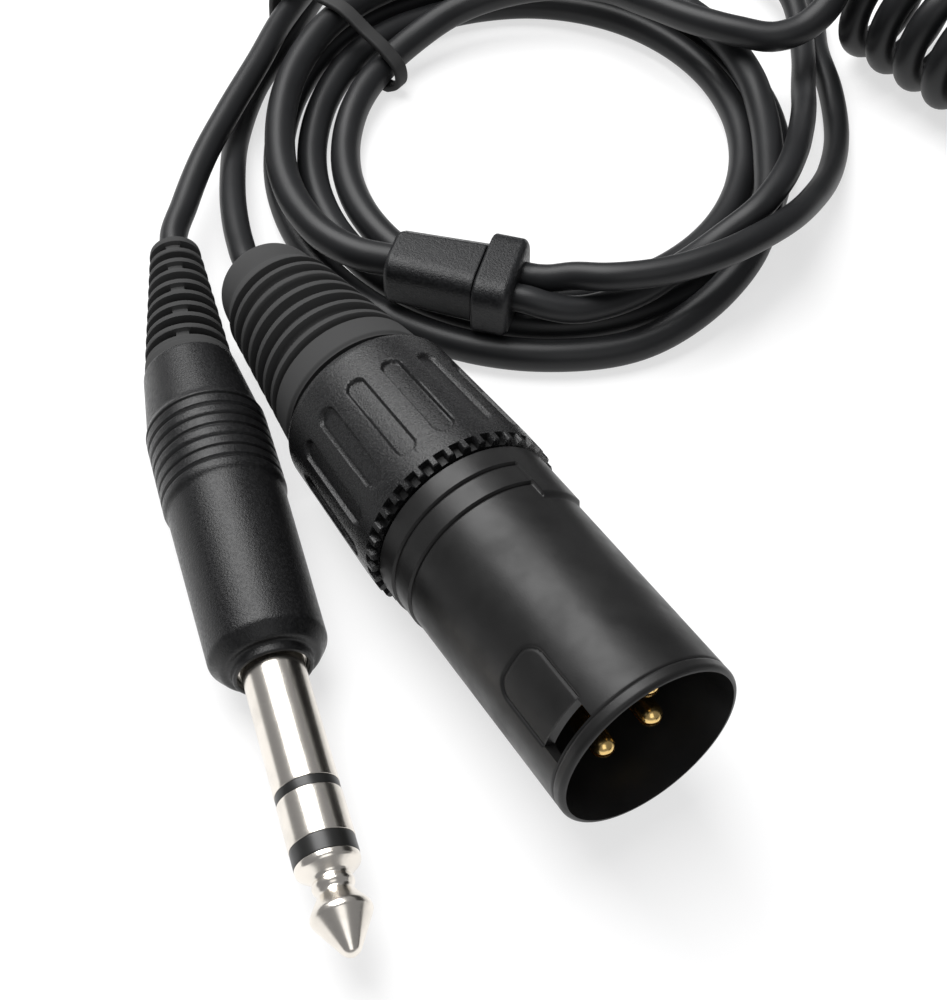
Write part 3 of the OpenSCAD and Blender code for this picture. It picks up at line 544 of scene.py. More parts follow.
class CableXlr(bpy.types.PropertyGroup):
    """Sizes of the three-pole plug."""

    shell_d: metres("Shell diameter", 0.0195, "Outer diameter of the shell")
    shell_len: metres("Shell length", 0.0312, "Length in front of the collar")
    socket_d: metres("Socket bore", 0.0163, "Bore of the socket")
    socket_depth: metres("Socket depth", 0.017, "Depth of the socket")
    pin_d: metres("Pin diameter", 0.0024, "Diameter of a contact pin")
    pin_circle: metres("Pin circle radius", 0.0038, "Radius of the circle of pins")
    pin_recess: metres("Pin recess", 0.003, "Depth of the pin tips behind the rim")
    collar_d: metres("Collar diameter", 0.0216, "Largest diameter of the screw collar")
    collar_rear_d: metres("Collar rear diameter", 0.0205, "Diameter of the collar at its rear")
    collar_len: metres("Collar length", 0.0206, "Length of the collar")
    flutes: number("Flutes", 15, 6, "Grip flutes round the collar")
    teeth: number("Teeth", 38, 20, "Teeth on the collar's front edge")
    boot_len: metres("Boot length", 0.0255, "Length of the rubber boot")
    boot_d: metres("Boot diameter", 0.0186, "Diameter of the boot's front band")
    boot_rear_d: metres("Boot rear diameter", 0.0124, "Diameter of the boot at its rear")
    ribs: number("Ribs", 6, 3, "Ribs on the boot")


class CableJack(bpy.types.PropertyGroup):
    """Sizes of the jack plug."""

    finger_d: metres("Finger diameter", 0.00635, "Diameter of the finger")
    finger_len: metres("Finger length", 0.031, "Length from handle to tip")
    handle_len: metres("Handle length", 0.0406, "Length of the moulded handle")
    handle_d: metres("Handle diameter", 0.0134, "Diameter at the grip rings")
    front_d: metres("Front diameter", 0.0122, "Diameter at the handle's front")
    rear_d: metres("Rear diameter", 0.0106, "Diameter at the handle's rear")
    relief_len: metres("Relief length", 0.0206, "Length of the strain relief")
    rings: number("Rings", 9, 5, "Gaps in the strain relief")


class CableCords(bpy.types.PropertyGroup):
    """Sizes of the cords, splitter and tie."""

    trunk_d: metres("Trunk diameter", 0.004, "Diameter of the trunk and curly cord")
    leg_d: metres("Leg diameter", 0.0034, "Diameter of each plug's leg")
    curls: number("Curls", 22, 4, "Curls of the curly cord")
    curl_r: metres("Curl radius", 0.008, "Radius of a curl's centreline")
    curl_gap: metres("Curl gap", 0.00105, "Clear gap between curls on the straight")
    split_len: metres("Splitter length", 0.0112, "Length of the splitter's body")
    split_w: metres("Splitter width", 0.0084, "Width at the trunk end")
    split_h: metres("Splitter height", 0.0062, "Height of the splitter's body")
    cap_len: metres("Cap length", 0.0046, "Length of the splitter's end cap")
    cap_w: metres("Cap width", 0.0116, "Width of the end cap")
    cap_h: metres("Cap height", 0.007, "Height of the end cap")
    tie_w: metres("Tie width", 0.0022, "Width of the tie band")
    tie_t: metres("Tie thickness", 0.0009, "Thickness of the tie band")


class CableStage(bpy.types.PropertyGroup):
    """Floor and camera."""

    floor: tint("Floor", (0.36, 0.36, 0.36), "Colour of the floor")
    camera_height: metres("Camera height", 0.134, "Height of the camera over the table")
    camera_pitch: bpy.props.FloatProperty(
        name="Camera pitch", description="Angle below level", default=math.radians(52.5), subtype="ANGLE"
    )
    lens: bpy.props.FloatProperty(name="Lens", description="Focal length in millimetres", default=54.0, min=10.0)


class CABLE_OT_xlr_shell(bpy.types.Operator):
    """Shell of the three-pole plug with its rim, steps, strip, latch window and bare arch."""

    bl_idname = "cable.xlr_shell"
    bl_label = "XLR Shell"

    def execute(self, context):
        s = context.scene.cable_xlr
        d, length, bore, depth = mm(s.shell_d, s.shell_len, s.socket_d, s.socket_depth)
        r, bore_r, rim, mouth, lead = d / 2, bore / 2, 0.5, 1.05, 6.0
        low, high, half = length - 3.5, length - 1.5, 16.7
        around = np.r_[-180:-120:2.0, -120 : -half - 0.3 : 0.6, -half:half:48j, half + 0.6 : 30 : 0.6, 30:180:2.0]
        inside = np.linspace(low, high, 16)
        up = np.r_[0:9:0.1, 9:19.4:0.6, 19.4 : low - 0.05 : 0.14, inside, high + 0.06 : length - rim : 10j]
        arc = np.radians(np.linspace(6, 75, 9))
        rim_rows = np.c_[r - rim + rim * np.cos(arc), length - rim + rim * np.sin(arc)]
        down = np.r_[length - 0.7, inside[::-1], low - 0.4 : length - depth : 8j]
        carrier = bore_r + 0.25
        strip_w, strip_len, steps, arch_w, arch_r, arch_rear = 2.85, 6.9, (2.35, 5.15), 1.15, 1.8, length - 9.2
        profile = np.vstack([
            np.c_[0 * up + r, up],
            rim_rows,
            [[bore_r + mouth, length]],
            np.c_[bore_r + mouth * np.clip(1 - (length - down) / lead, 0, 1), down],
            [[carrier, length - depth], [carrier, 0.0]],
        ])
        outer = np.arange(len(profile))[:, None] < len(up)

        def marks(a, z):
            """Rise and cut of the skin: two steps that end at the key strip, and the arch sunk behind the window.

            The arch's edge is hypot(max(x - arch_w, 0), max(arch_rear - z, 0)) - arch_r, less than 0 inside.
            """
            off = np.abs(np.radians(wrapped(a - (STRIP_TURN - LATCH_TURN))) * r)
            strip = (1 - smooth(off, strip_w, strip_w + 0.15)) * (1 - smooth(z, strip_len, strip_len + 0.7))
            rise = 0.4 - sum(0.2 * smooth(z, at, at + 0.1) for at in steps)
            foot = sum(bell(z - at - 0.18, 0.1) for at in steps)
            across = np.abs(np.radians(a) * r)
            edge = np.hypot(np.maximum(across - arch_w, 0), np.maximum(arch_rear - z, 0)) - arch_r
            arch = 0.1 * (1 - smooth(edge, -0.2, 0.0)) + 0.2 * bell(edge, 0.13)
            lip = 0.14 * bell(z - length + 1.32, 0.1)
            cut = 0.16 * foot * (1 - strip) + arch * (z < low - 0.05) + lip
            return np.maximum(rise, 0.42 * strip), cut

        def shape(a, radius, z):
            """The skin's marks, on the outside only."""
            rise, cut = marks(a - LATCH_TURN, z)
            return radius + np.where(outer, rise - cut, 0.0)

        grid, _ = turned(profile, around + LATCH_TURN, shape)
        # The skin's cut becomes each point's hollow, which the satin finish darkens as painted shade
        hollow = np.where(outer, marks(around[None, :], profile[:, 1:])[1], 0.0)
        rows, columns = grid.shape[:2]
        count = len(inside) - 1
        first = int(np.argmin(np.abs(up - low)))
        back = len(up) + len(rim_rows) + 2 + count
        c0, c1 = (int(np.argmin(np.abs(around - side))) for side in (-half, half))
        keep = np.ones((rows, columns), bool)
        keep[first : first + count, c0:c1] = False
        keep[back - count : back, c0:c1] = False
        across, along = np.arange(c0, c1), np.arange(count)
        loop_row = np.r_[0 * across, along, 0 * across + count, along[::-1] + 1]
        loop_col = np.r_[across, 0 * along + c1, across[::-1] + 1, 0 * along + c0]
        out_loop = (first + loop_row) * columns + loop_col
        in_loop = (back - loop_row) * columns + loop_col
        wall = np.c_[out_loop, np.roll(out_loop, -1), np.roll(in_loop, -1), in_loop]
        faces = grid_faces(rows, columns, True)[keep].tolist() + wall.tolist()
        grids = [(lay(grid, XLR), hollow, True)]
        add_piece("xlr_shell_skin", grids, finish_of(satin_shell), "xlr_shell", faces=faces)
        return {"FINISHED"}


class CABLE_OT_xlr_contacts(bpy.types.Operator):
    """Three gold contacts with slit, domed tips."""

    bl_idname = "cable.xlr_contacts"
    bl_label = "XLR Contacts"

    def execute(self, context):
        s = context.scene.cable_xlr
        d, circle, recess, length, depth = mm(s.pin_d, s.pin_circle, s.pin_recess, s.shell_len, s.socket_depth)
        r, tip, floor, slit = d / 2, length - recess, length - depth, 0.34
        rear, split, cup_at, cup_r, stem_r = floor - CARRIER_LEN, tip - 3.2, 0.6, 1.6, 1.1
        corners = [
            [0, cup_at], [cup_r, cup_at], [cup_r, rear], [stem_r, rear],
            [stem_r, floor], [r, floor], [r, split], [0, split],
        ]
        stem, _ = turned(outline(corners, 0.12, 0.8, False), 40)
        dome = np.radians(np.linspace(0, 90, 10))
        blade = np.r_[[[0, split - 0.3], [r, split - 0.3]], np.c_[r * np.cos(dome), tip - r + r * np.sin(dome)]]
        half, _ = turned(dense(blade, 0.4, False), 40)
        x, y, z = np.moveaxis(half, -1, 0)
        limit = np.sqrt(np.maximum(x**2 + y**2 - slit**2 / 4, 0))
        left = np.stack([np.maximum(x, slit / 2), np.clip(y, -limit, limit), z], -1)
        right = left * np.array([-1.0, 1.0, 1.0])
        for k in (1, 2, 3):
            at = circle * heading_vector(LATCH_TURN + 90 * k)
            grids = [(lay(part + at, XLR), 0.0, False) for part in (stem, left, right)]
            add_piece(f"xlr_pin_{k}", grids, finish_of(contact_gold), f"xlr_contact_{k}")
        return {"FINISHED"}


class CABLE_OT_xlr_collar(bpy.types.Operator):
    """Screw collar with round-ended flutes and a toothed front edge."""

    bl_idname = "cable.xlr_collar"
    bl_label = "XLR Collar"

    def execute(self, context):
        s = context.scene.cable_xlr
        d, rear_d, length, bore = mm(s.collar_d, s.collar_rear_d, s.collar_len, s.socket_d)
        r, rear_r, inner, gap, notch, round_r = d / 2, rear_d / 2, 6.3, 0.5, 1.1, 1.4
        flute_w, flute_len, middle, depth, notch_in = 2.4, 12.4, -9.8, 0.4, 0.8
        hole, cone_r, cone_front, cone_rear = 4.7, 4.3, 9.7 - length, 3.9 - length
        spigot, spigot_len = bore / 2 + 0.1, mm(s.shell_len - s.socket_depth)[0] - CARRIER_LEN - 0.4
        front = np.r_[-3.0 : -gap - notch - 0.03 : 6j, -gap - notch + 0.03 : -gap - 0.1 : 6j]
        taper = np.linspace(-length + round_r, -3.6, 96)
        turn = np.radians(np.linspace(0, 84, 8))
        edge = np.c_[rear_r - round_r + round_r * np.sin(turn), -length + round_r - round_r * np.cos(turn)]
        slope = (r - rear_r) / (length - round_r - 3.4)
        profile = np.vstack([
            [[hole, -length]],
            edge,
            np.c_[rear_r + slope * (taper + length - round_r), taper],
            np.c_[0 * front + r, front],
            [[r - 0.1, -gap], [r - notch_in, -gap], [spigot, -gap], [spigot, spigot_len]],
            [[inner, spigot_len], [inner, cone_front], [cone_r, cone_rear], [hole, cone_rear]],
        ])
        outer = (np.arange(len(profile)) < 1 + len(edge) + len(taper) + len(front) + 2)[:, None]

        def shape(a, radius, z):
            """Flutes: a stadium in arc length and z, sunk by its depth. Notches: a square wave at the front edge."""
            across = np.radians(wrapped(a - FLUTE_TURN, 360 / s.flutes)) * radius
            along = np.maximum(np.abs(z - middle) - (flute_len - flute_w) / 2, 0)
            flute = 1 - smooth(np.hypot(across, along), flute_w / 2 - 0.22, flute_w / 2)
            off = np.abs(np.radians(wrapped(a, 360 / s.teeth))) * r
            tooth = (1 - smooth(off, 0.44, 0.54)) * (z > -gap - notch)
            cut = np.minimum(radius - depth * flute, np.where(tooth > 0, r - notch_in * tooth, radius))
            return np.where(outer, cut, radius)

        # The notches' depth becomes each point's hollow, which the grain finish darkens as painted shade
        grid, hollow = turned(profile, 14 * s.teeth, shape)
        grids = [(lay(grid, XLR), hollow, True)]
        finish = finish_of(grain, "collar")
        add_piece("xlr_collar_skin", grids, finish, "xlr_collar", "screw_collar")
        return {"FINISHED"}


class CABLE_OT_xlr_boot(bpy.types.Operator):
    """Rubber boot: plain front band, rounded ribs and a domed rear."""

    bl_idname = "cable.xlr_boot"
    bl_label = "XLR Boot"

    def execute(self, context):
        s = context.scene.cable_xlr
        length, d, rear_d, collar_len = mm(s.boot_len, s.boot_d, s.boot_rear_d, s.collar_len)
        hole = mm(context.scene.cable_cords.leg_d)[0] / 2 + 0.2
        band, plain, groove, dome, dome_in, plug_r = 3.7, 7.0, 1.1, 4.5, 1.7, 4.65
        front, r, rear_r = -collar_len - BOOT_GAP, d / 2, rear_d / 2
        rear = front - length
        z = np.linspace(front - 0.02, rear + dome, 190)
        cone = r + (rear_r - r) * (front - z) / length
        phase = (front - band - z) / ((length - band - plain) / s.ribs)
        wave = np.abs(phase % 1.0 - 0.12)
        cut = groove * (1 - smooth(np.minimum(wave, 1 - wave), 0.2, 0.36)) * (phase > 0) * (phase < s.ribs)
        tail = groove * (1 - smooth(np.abs(phase - s.ribs - 0.1), 0.06, 0.2))
        crown = 0.3 * smooth(np.abs(z - front), 0.0, 0.6) - 0.3
        turn = np.radians(np.linspace(0, 90, 16))
        end = np.c_[rear_r - dome_in * (1 - np.cos(turn)), rear + dome * (1 - np.sin(turn))]
        cap = (r - rear_r) * plain / length
        skin = np.minimum(cone + crown, rear_r + cap * (z - rear - dome) / (0.9 * plain - dome))
        profile = np.vstack([
            [[hole, 3 - collar_len], [plug_r, 3 - collar_len], [plug_r, front], [r - 0.6, front]],
            np.c_[skin, z],
            end[1:],
            [[hole, rear], [hole, (front + rear) / 2]],
        ])
        depth = np.zeros((len(profile), 1))
        depth[4 : 4 + len(z), 0] = np.maximum(cut, tail)
        # Grooves between the ribs, the same all the way round
        grid, hollow = turned(profile, 128, lambda a, radius, z: radius - depth)
        grids = [(lay(grid, XLR), hollow, True)]
        add_piece("xlr_boot_skin", grids, finish_of(boot_rubber), "xlr_boot", "screw_collar", 50.0)
        return {"FINISHED"}


class CABLE_OT_jack_handle(bpy.types.Operator):
    """Moulded jack handle with fine grip rings and a chamfered front."""

    bl_idname = "cable.jack_handle"
    bl_label = "Jack Handle"

    def execute(self, context):
        s = context.scene.cable_jack
        length, d, front_d, rear_d, finger = mm(s.handle_len, s.handle_d, s.front_d, s.rear_d, s.finger_d)
        r, front_r, rear_r, neck_r, hole, cavity = d / 2, front_d / 2, rear_d / 2, finger / 2 + 0.45, 1.9, 4.3
        rings, pitch, start, groove = 7, 1.5, -31.6, 0.22
        stop = start + rings * pitch
        corners = [
            [hole, -length], [rear_r, -length], [r - 0.3, start - 0.6], [r, start], [r, stop], [r - 0.3, stop + 0.6],
            [front_r, -1.5], [front_r - 1.1, 0], [neck_r + 0.55, 0], [neck_r + 0.45, 1.0], [neck_r, 1.0],
            [neck_r, -3.6], [cavity, -3.6], [cavity, -35.0], [hole, -35.0],
        ]
        profile = outline(corners, 0.35, 0.16)
        outer = profile[:, :1] > 5.0

        def shape(a, radius, z):
            """Grip rings: one narrow rounded groove in each pitch."""
            phase = ((z - start) / pitch) % 1.0
            ring = 1 - smooth(np.abs(phase - 0.25), 0.04, 0.18)
            return radius - groove * ring * (z > start) * (z < stop) * outer

        # The grooves' depth becomes each point's hollow, which the grain finish darkens as painted shade
        grid, hollow = turned(profile, 120, shape)
        grids = [(lay(grid, JACK), hollow, True)]
        add_piece("jack_handle_skin", grids, finish_of(grain, "handle"), "jack_handle")
        return {"FINISHED"}


class CABLE_OT_jack_relief(bpy.types.Operator):
    """Slotted strain relief, bent with its cable: rings joined by webs that change sides from gap to gap."""

    bl_idname = "cable.jack_relief"
    bl_label = "Jack Strain Relief"

    def execute(self, context):
        s = context.scene.cable_jack
        length, handle, leg = mm(s.relief_len, s.handle_len, context.scene.cable_cords.leg_d)
        relief, overlap, thin, thick = (on_axis(JACK, -handle), RELIEF_HEADING, 0.0), 0.6, 3.0, 5.1
        points = [on_axis(relief, v) for v in (-length, -15, -10, -6, -3)] + [on_axis(JACK, overlap - handle)]
        path = smooth_path(points, 0.1)
        z = np.linspace(-length, overlap, len(path))[:, None]
        a = np.linspace(0, 360, 112, endpoint=False)[None, :]
        cone = thin + (thick - thin) * np.clip((z + length) / (length - 0.6), 0, 1)
        phase = (z + length) / ((length - 2.2) / s.rings) - 0.7
        index = np.floor(phase)
        gap = smooth(phase % 1, 0.0, 0.08) * (1 - smooth(phase % 1, 0.56, 0.64))
        gap *= (index >= 0) & (index < s.rings)
        web = np.where(index % 2 == 0, 90.0, 0.0)
        off = np.abs(np.radians(wrapped(a - web, 180))) * cone
        cut = gap * smooth(off, 1.0, 1.15)
        crown = 0.16 * np.abs((phase - 0.52) % 1 - 0.26) * (index < s.rings)
        lip = 0.5 * (1 - smooth(z, -length, -length + 0.5))
        outer = cone - crown - lip
        radius = np.minimum(outer - 0.5 * gap, outer - cut * (outer - leg / 2 - 0.3))
        # The gaps' cut becomes each point's hollow, which the rubber finish darkens as painted shade
        grids = [(swept(path, UP, radius) - PART_CENTRE, cut, False)]
        add_piece("jack_relief_skin", grids, finish_of(boot_rubber), "jack_strain_relief")
        return {"FINISHED"}


class CABLE_OT_jack_finger(bpy.types.Operator):
    """Jack finger: sleeve, ring and tip with their two insulating rings."""

    bl_idname = "cable.jack_finger"
    bl_label = "Jack Finger"

    def execute(self, context):
        s = context.scene.cable_jack
        d, length = mm(s.finger_d, s.finger_len)
        r, band, neck, bulge = d / 2, d / 2 - 0.05, length - 6.0, length - 4.4
        sleeve_end, ring_at, ring_end, tip_at, sharp = 14.3, 15.3, 20, 21.8, 60.0
        nickel, dark = finish_of(turned_nickel), finish_of(dark_moulding)

        def stepped(bore, tube, face, rear, step, front):
            """Outline of a tube from rear to step and its ring from step to front."""
            return [[bore, rear], [tube, rear], [tube, step], [face, step], [face, front], [bore, front]]

        sleeve = [
            [2.73, -6], [4.25, -6], [4.25, -3.6], [r + 0.4, -3.6],
            [r + 0.4, 0.2], [r, 0.2], [r, sleeve_end], [2.73, sleeve_end],
        ]
        for node, finish, slot, corners in (
            ("jack_sleeve", nickel, "nickel", sleeve),
            ("jack_rear_insulator", dark, "carrier_plastic", stepped(2.23, 2.68, band, -7, sleeve_end, ring_at)),
            ("jack_ring", nickel, "nickel", stepped(1.73, 2.18, r, -8, ring_at, ring_end)),
            ("jack_front_insulator", dark, "carrier_plastic", stepped(0.85, 1.68, band, -9, ring_end, tip_at)),
        ):
            grid, _ = turned(outline(corners, 0.08, 0.5), 112)
            add_piece(node + "_skin", [(lay(grid, JACK), 0.0, True)], finish, node, sharp=sharp)
        # Radius, station and rounding of the tip's corners
        tip = np.array([
            [0, -10, 0], [0.8, -10, 0.1], [0.8, tip_at, 0.1], [band, tip_at, 0.1], [r - 0.1, 22.4, 0.25],
            [r - 1.35, neck - 1.6, 0.4], [r - 1.1, neck - 0.9, 0.5], [r - 1.5, neck - 0.2, 0.5],
            [r - 0.3, bulge, 0.35], [r - 0.25, bulge + 0.5, 0.3], [0.75, length - 0.35, 0.6], [0, length, 0],
        ])
        grid, _ = turned(outline(tip[:, :2], tip[:, 2], 0.4, False, 7), 112)
        add_piece("jack_tip_skin", [(lay(grid, JACK), 0.0, False)], nickel, "jack_tip", sharp=sharp)
        return {"FINISHED"}


class CABLE_OT_splitter(bpy.types.Operator):
    """Moulded splitter: a body with one bevelled long edge, and its flanged end cap."""

    bl_idname = "cable.splitter"
    bl_label = "Splitter"

    def execute(self, context):
        s = context.scene.cable_cords
        length, w, h, cap_len, cap_w, cap_h = mm(s.split_len, s.split_w, s.split_h, s.cap_len, s.cap_w, s.cap_h)
        flare, bevel_w, bevel_h = 0.6, 2.2, 1.7
        x = np.r_[0:0.9:9j, 1.2 : length - 0.4 : 24j, length - 0.3 : length : 5j]
        half = (w / 2 + flare * np.clip(x / length, 0, 1))[:, None]
        top = 0 * half + h / 2
        y = np.hstack([-half, -half, half - bevel_w, half, half])
        z = np.hstack([-top, top, top, top - bevel_h, -top])
        body = lofted(x, np.stack([y, z], -1), [1.1, 2.6, 0.25, 0.9, 1.1], (0.8, 0.2))
        x = np.r_[0:0.6:7j, 0.9 : cap_len - 1.1 : 8j, cap_len - 0.9 : cap_len : 9j]
        corners = np.array([[-1, -1], [-1, 1], [1, 1], [1, -1]]) * (cap_w / 2, cap_h / 2)
        corners = np.broadcast_to(corners, (len(x), 4, 2))
        cap = lofted(x + length + SPLIT_GAP, corners, [1.2, 2.8, 2.6, 1.2], (0.5, 0.9))
        turn = np.stack([heading_vector(SPLITTER[1]), heading_vector(SPLITTER[1] + 90), UP])
        finish = finish_of(grain, "splitter")
        for name, grid, node in (("splitter_shell", body, "splitter_body"), ("splitter_end", cap, "splitter_cap")):
            laid = grid @ turn + np.array(SPLITTER[0]) - PART_CENTRE
            add_piece(name, [(laid, 0.0, False)], finish, node, sharp=30.0)
        return {"FINISHED"}


# Route points on the table, in millimetres; the coil's are angle, radius and height
COIL_AT = np.array([8.5, 162.2])
COIL_OVAL = 1.09
TIE_ANGLE = 147.0
TRUNK_LEAD = [[-17.8, 137.6, 7.4], [-21.5, 143, 6.9], [-24.2, 149.8, 6.6], [-25.4, 157, 6.6]]
TRUNK_TOP = [
    [165, 33.9, 7.3], [150, 33.6, 7.8], [120, 33.2, 6.9], [90, 32.5, 6.6], [60, 31.6, 6.5], [30, 30.7, 6.5],
    [15, 30.4, 6.4], [0, 30.2, 6.3], [-15, 30.9, 6.4], [-28, 32.6, 6.4], [-42, 34.6, 5.4], [-56, 35.7, 3.8],
    [-70, 36.2, 2.3],
]
TRUNK_CLIMB = [[133, 25.3, 4.1], [115, 25.6, 5.6], [95, 25.6, 7.1]]
TRUNK_TAIL = [
    [18.6, 188.9, 8.3], [24.6, 183.3, 9.6], [30.3, 178, 10.6], [35.7, 174.9, 10.95], [41, 173.5, 11],
    [44.8, 174.5, 11.8], [48.2, 176.8, 14], [50.4, 181.4, 17.2],
]
XLR_LEG = [
    [8.7, 129.9, 8.1], [11.9, 129.2, 9.2], [15.4, 128, 10.2], [20.3, 128, 10.7], [23.6, 128.6, 10.9],
    [26.9, 129.7, 11.1], [30.3, 131.3, 11.2], [33.9, 133.8, 11], [37.9, 137.8, 9.9], [43, 145.8, 6.8],
    [47.1, 154.9, 3.6], [49.6, 164.4, 1.85], [50.1, 174.5, 1.85], [49.5, 182.3, 1.85], [49.6, 194, 1.85],
    [43, 206, 1.85], [29, 214, 1.85], [10, 216.5, 1.85], [-9, 211, 1.85], [-21.5, 200, 2.2], [-26.7, 184.3, 3.05],
    [-30.6, 173.4, 2.4], [-32, 163, 2.6], [-31.4, 152.5, 4.5], [-30.2, 144, 6], [-28.7, 137.4, 7],
]
JACK_LEG = [
    [8.6, 126.3, 7.2], [11.9, 126.3, 6.5], [15.7, 127.4, 6.2], [20.8, 130, 6.3], [24.8, 133.3, 6.5],
    [28.8, 136.3, 7.2], [31.4, 137.9, 8.3], [33.3, 138.9, 9.3], [35, 140.3, 9.9], [36.7, 142.4, 10.3],
    [38.4, 145.1, 10.5], [40.7, 150.5, 10], [42.5, 156.6, 8.6], [44.2, 163.7, 6.6], [45.4, 170.9, 4.8],
    [46.5, 178.5, 4.4], [46, 192, 5.4], [40, 204, 5.7], [28, 211.5, 5.7], [10, 214, 5.7], [-8, 209, 5.7],
    [-20, 199, 6.2], [-26.7, 184.3, 6.9], [-29.6, 173, 7.2], [-32.6, 162.6, 7.1], [-35.1, 152.8, 6.9],
    [-36.4, 144.6, 6.7],
]
TAIL = [[74.6, 86, 2.2], [69.2, 84, 2.9], [64.8, 80, 4.5], [62.5, 74.4, 6.2]]
TIE_LOOP = [
    [24.2, 0.55], [33, 0.55], [42, 0.55], [44, 1.6], [44.3, 5.2], [43.4, 8.6], [40.8, 10.3], [35, 10.6],
    [32, 10.3], [28, 8.2], [24.4, 6.2], [22.5, 4.4], [22.4, 2],
]
CURL_AT = np.array([56.9, 187.9])
CURL_HEADING = -51.5
CURL_RUN, CURL_BEND_R, CURL_BEND_LEN = 30.0, 70.0, 60.0


def oval(points):
    """Coil points from angle, radius and height: the radius is stretched along y by the oval."""
    angle, radius, height = np.asarray(points, float).T
    a = np.radians(angle)
    return np.c_[COIL_AT[0] + radius * np.cos(a), COIL_AT[1] + COIL_OVAL * radius * np.sin(a), height]


def coil_turns(diameter):
    """Floor turns of the coil: the radius falls by one pitch a turn, and the turns rise over the tie."""
    start_r, pitch, rise, reach = 35.9, diameter + 0.5, 1.2, 40
    u = np.arange(270, 1110.1, 15)
    off = wrapped(180 - u - TIE_ANGLE)
    lift = np.where(np.abs(off) < reach, rise * np.cos(np.radians(90 * off / reach)) ** 2, 0.0)
    return oval(np.c_[180 - u, start_r - pitch * (u - 270) / 360, diameter / 2 + TABLE_GAP + lift])


def curl_frame(s):
    """Axis point, heading vector and left vector of the curls after a run s: straight, a bend, then straight."""
    s = np.atleast_1d(np.asarray(s, float))
    h0 = math.radians(CURL_HEADING)
    h = h0 - np.clip(s - CURL_RUN, 0, CURL_BEND_LEN) / CURL_BEND_R
    ahead = np.c_[np.cos(h), np.sin(h), 0 * h]
    left = np.c_[-np.sin(h), np.cos(h), 0 * h]
    first = np.minimum(s, CURL_RUN)[:, None] * heading_vector(CURL_HEADING)
    bend = CURL_BEND_R * np.c_[math.sin(h0) - np.sin(h), np.cos(h) - math.cos(h0), 0 * h]
    last = np.maximum(s - CURL_RUN - CURL_BEND_LEN, 0)[:, None] * ahead
    return first + bend + last + np.append(CURL_AT, 0.0), ahead, left


def curl_points(t, pitch, radius, diameter):
    """Curls: the axis point at run t times the pitch, plus radius times (sin 360t to the left, cos 360t up)."""
    axis, ahead, left = curl_frame(t * pitch)
    a = 2 * math.pi * np.atleast_1d(t)[:, None]
    height = radius + diameter / 2 + TABLE_GAP
    return axis + radius * (np.sin(a) * left + np.cos(a) * UP) + height * UP, ahead, left


def curl_ends(s):
    """Start and end points of the curly cord, one diameter straight off its first and last curls."""
    d, radius, gap = mm(s.trunk_d, s.curl_r, s.curl_gap)
    points, _, left = curl_points(np.array([0.0, s.curls + 0.5]), d + gap, radius, d)
    return points - d * left, left


def add_cord(name, path, up, diameter, sides, node):
    """Adds a cord's tube in place of its node."""
    path = path - PART_CENTRE
    tube = swept(path, up, np.full((len(path), sides), diameter / 2))
    piece = add_piece(name, [(tube, 0.0, False)], finish_of(cable_jacket), node)


class CABLE_OT_trunk(bpy.types.Operator):
    """Trunk from the splitter, round its coil and up to the curly cord."""

    bl_idname = "cable.trunk"
    bl_label = "Trunk Coil"

    def execute(self, context):
        s = context.scene.cable_cords
        d = mm(s.trunk_d)[0]
        (end, _), (left, _) = curl_ends(s)
        root = [on_axis(SPLITTER, v) for v in (2.6, 0.0, -d)]
        route = [root, TRUNK_LEAD, oval(TRUNK_TOP), coil_turns(d), oval(TRUNK_CLIMB), TRUNK_TAIL]
        path = smooth_path(np.vstack([*route, [end - d / 2 * left, end]]), 0.9)
        add_cord("trunk", path, UP, d, 24, "trunk_coil")
        return {"FINISHED"}


class CABLE_OT_legs(bpy.types.Operator):
    """Two legs from the splitter round the coil to the plugs."""

    bl_idname = "cable.legs"
    bl_label = "Plug Legs"

    def execute(self, context):
        s, jack, xlr = context.scene.cable_cords, context.scene.cable_jack, context.scene.cable_xlr
        d, split_len, cap_len = mm(s.leg_d, s.split_len, s.cap_len)
        handle, relief_len, collar_len, boot_len = mm(jack.handle_len, jack.relief_len, xlr.collar_len, xlr.boot_len)
        face, side, step, grip = split_len + cap_len + SPLIT_GAP, d / 2 + 0.2, 0.8, 11.3
        stations = (split_len - 1, face, face + 0.4 * d)
        left, right = ([on_axis(SPLITTER, v, way * side) for v in stations] for way in (1, -1))
        rear = -collar_len - BOOT_GAP - boot_len
        ends = [on_axis(XLR, v) for v in (rear - d, rear, grip - collar_len)]
        path = smooth_path(np.vstack([left, XLR_LEG, ends]), step)
        add_cord("xlr_cord", path, UP, d, 20, "xlr_leg")
        relief = (on_axis(JACK, -handle), RELIEF_HEADING, 0.0)
        ends = [on_axis(relief, v) for v in (-relief_len - 0.6 * d, -relief_len, 0.0)] + [on_axis(JACK, 3 - handle)]
        path = smooth_path(np.vstack([right, JACK_LEG, ends]), step)
        add_cord("jack_cord", path, UP, d, 20, "jack_leg")
        return {"FINISHED"}


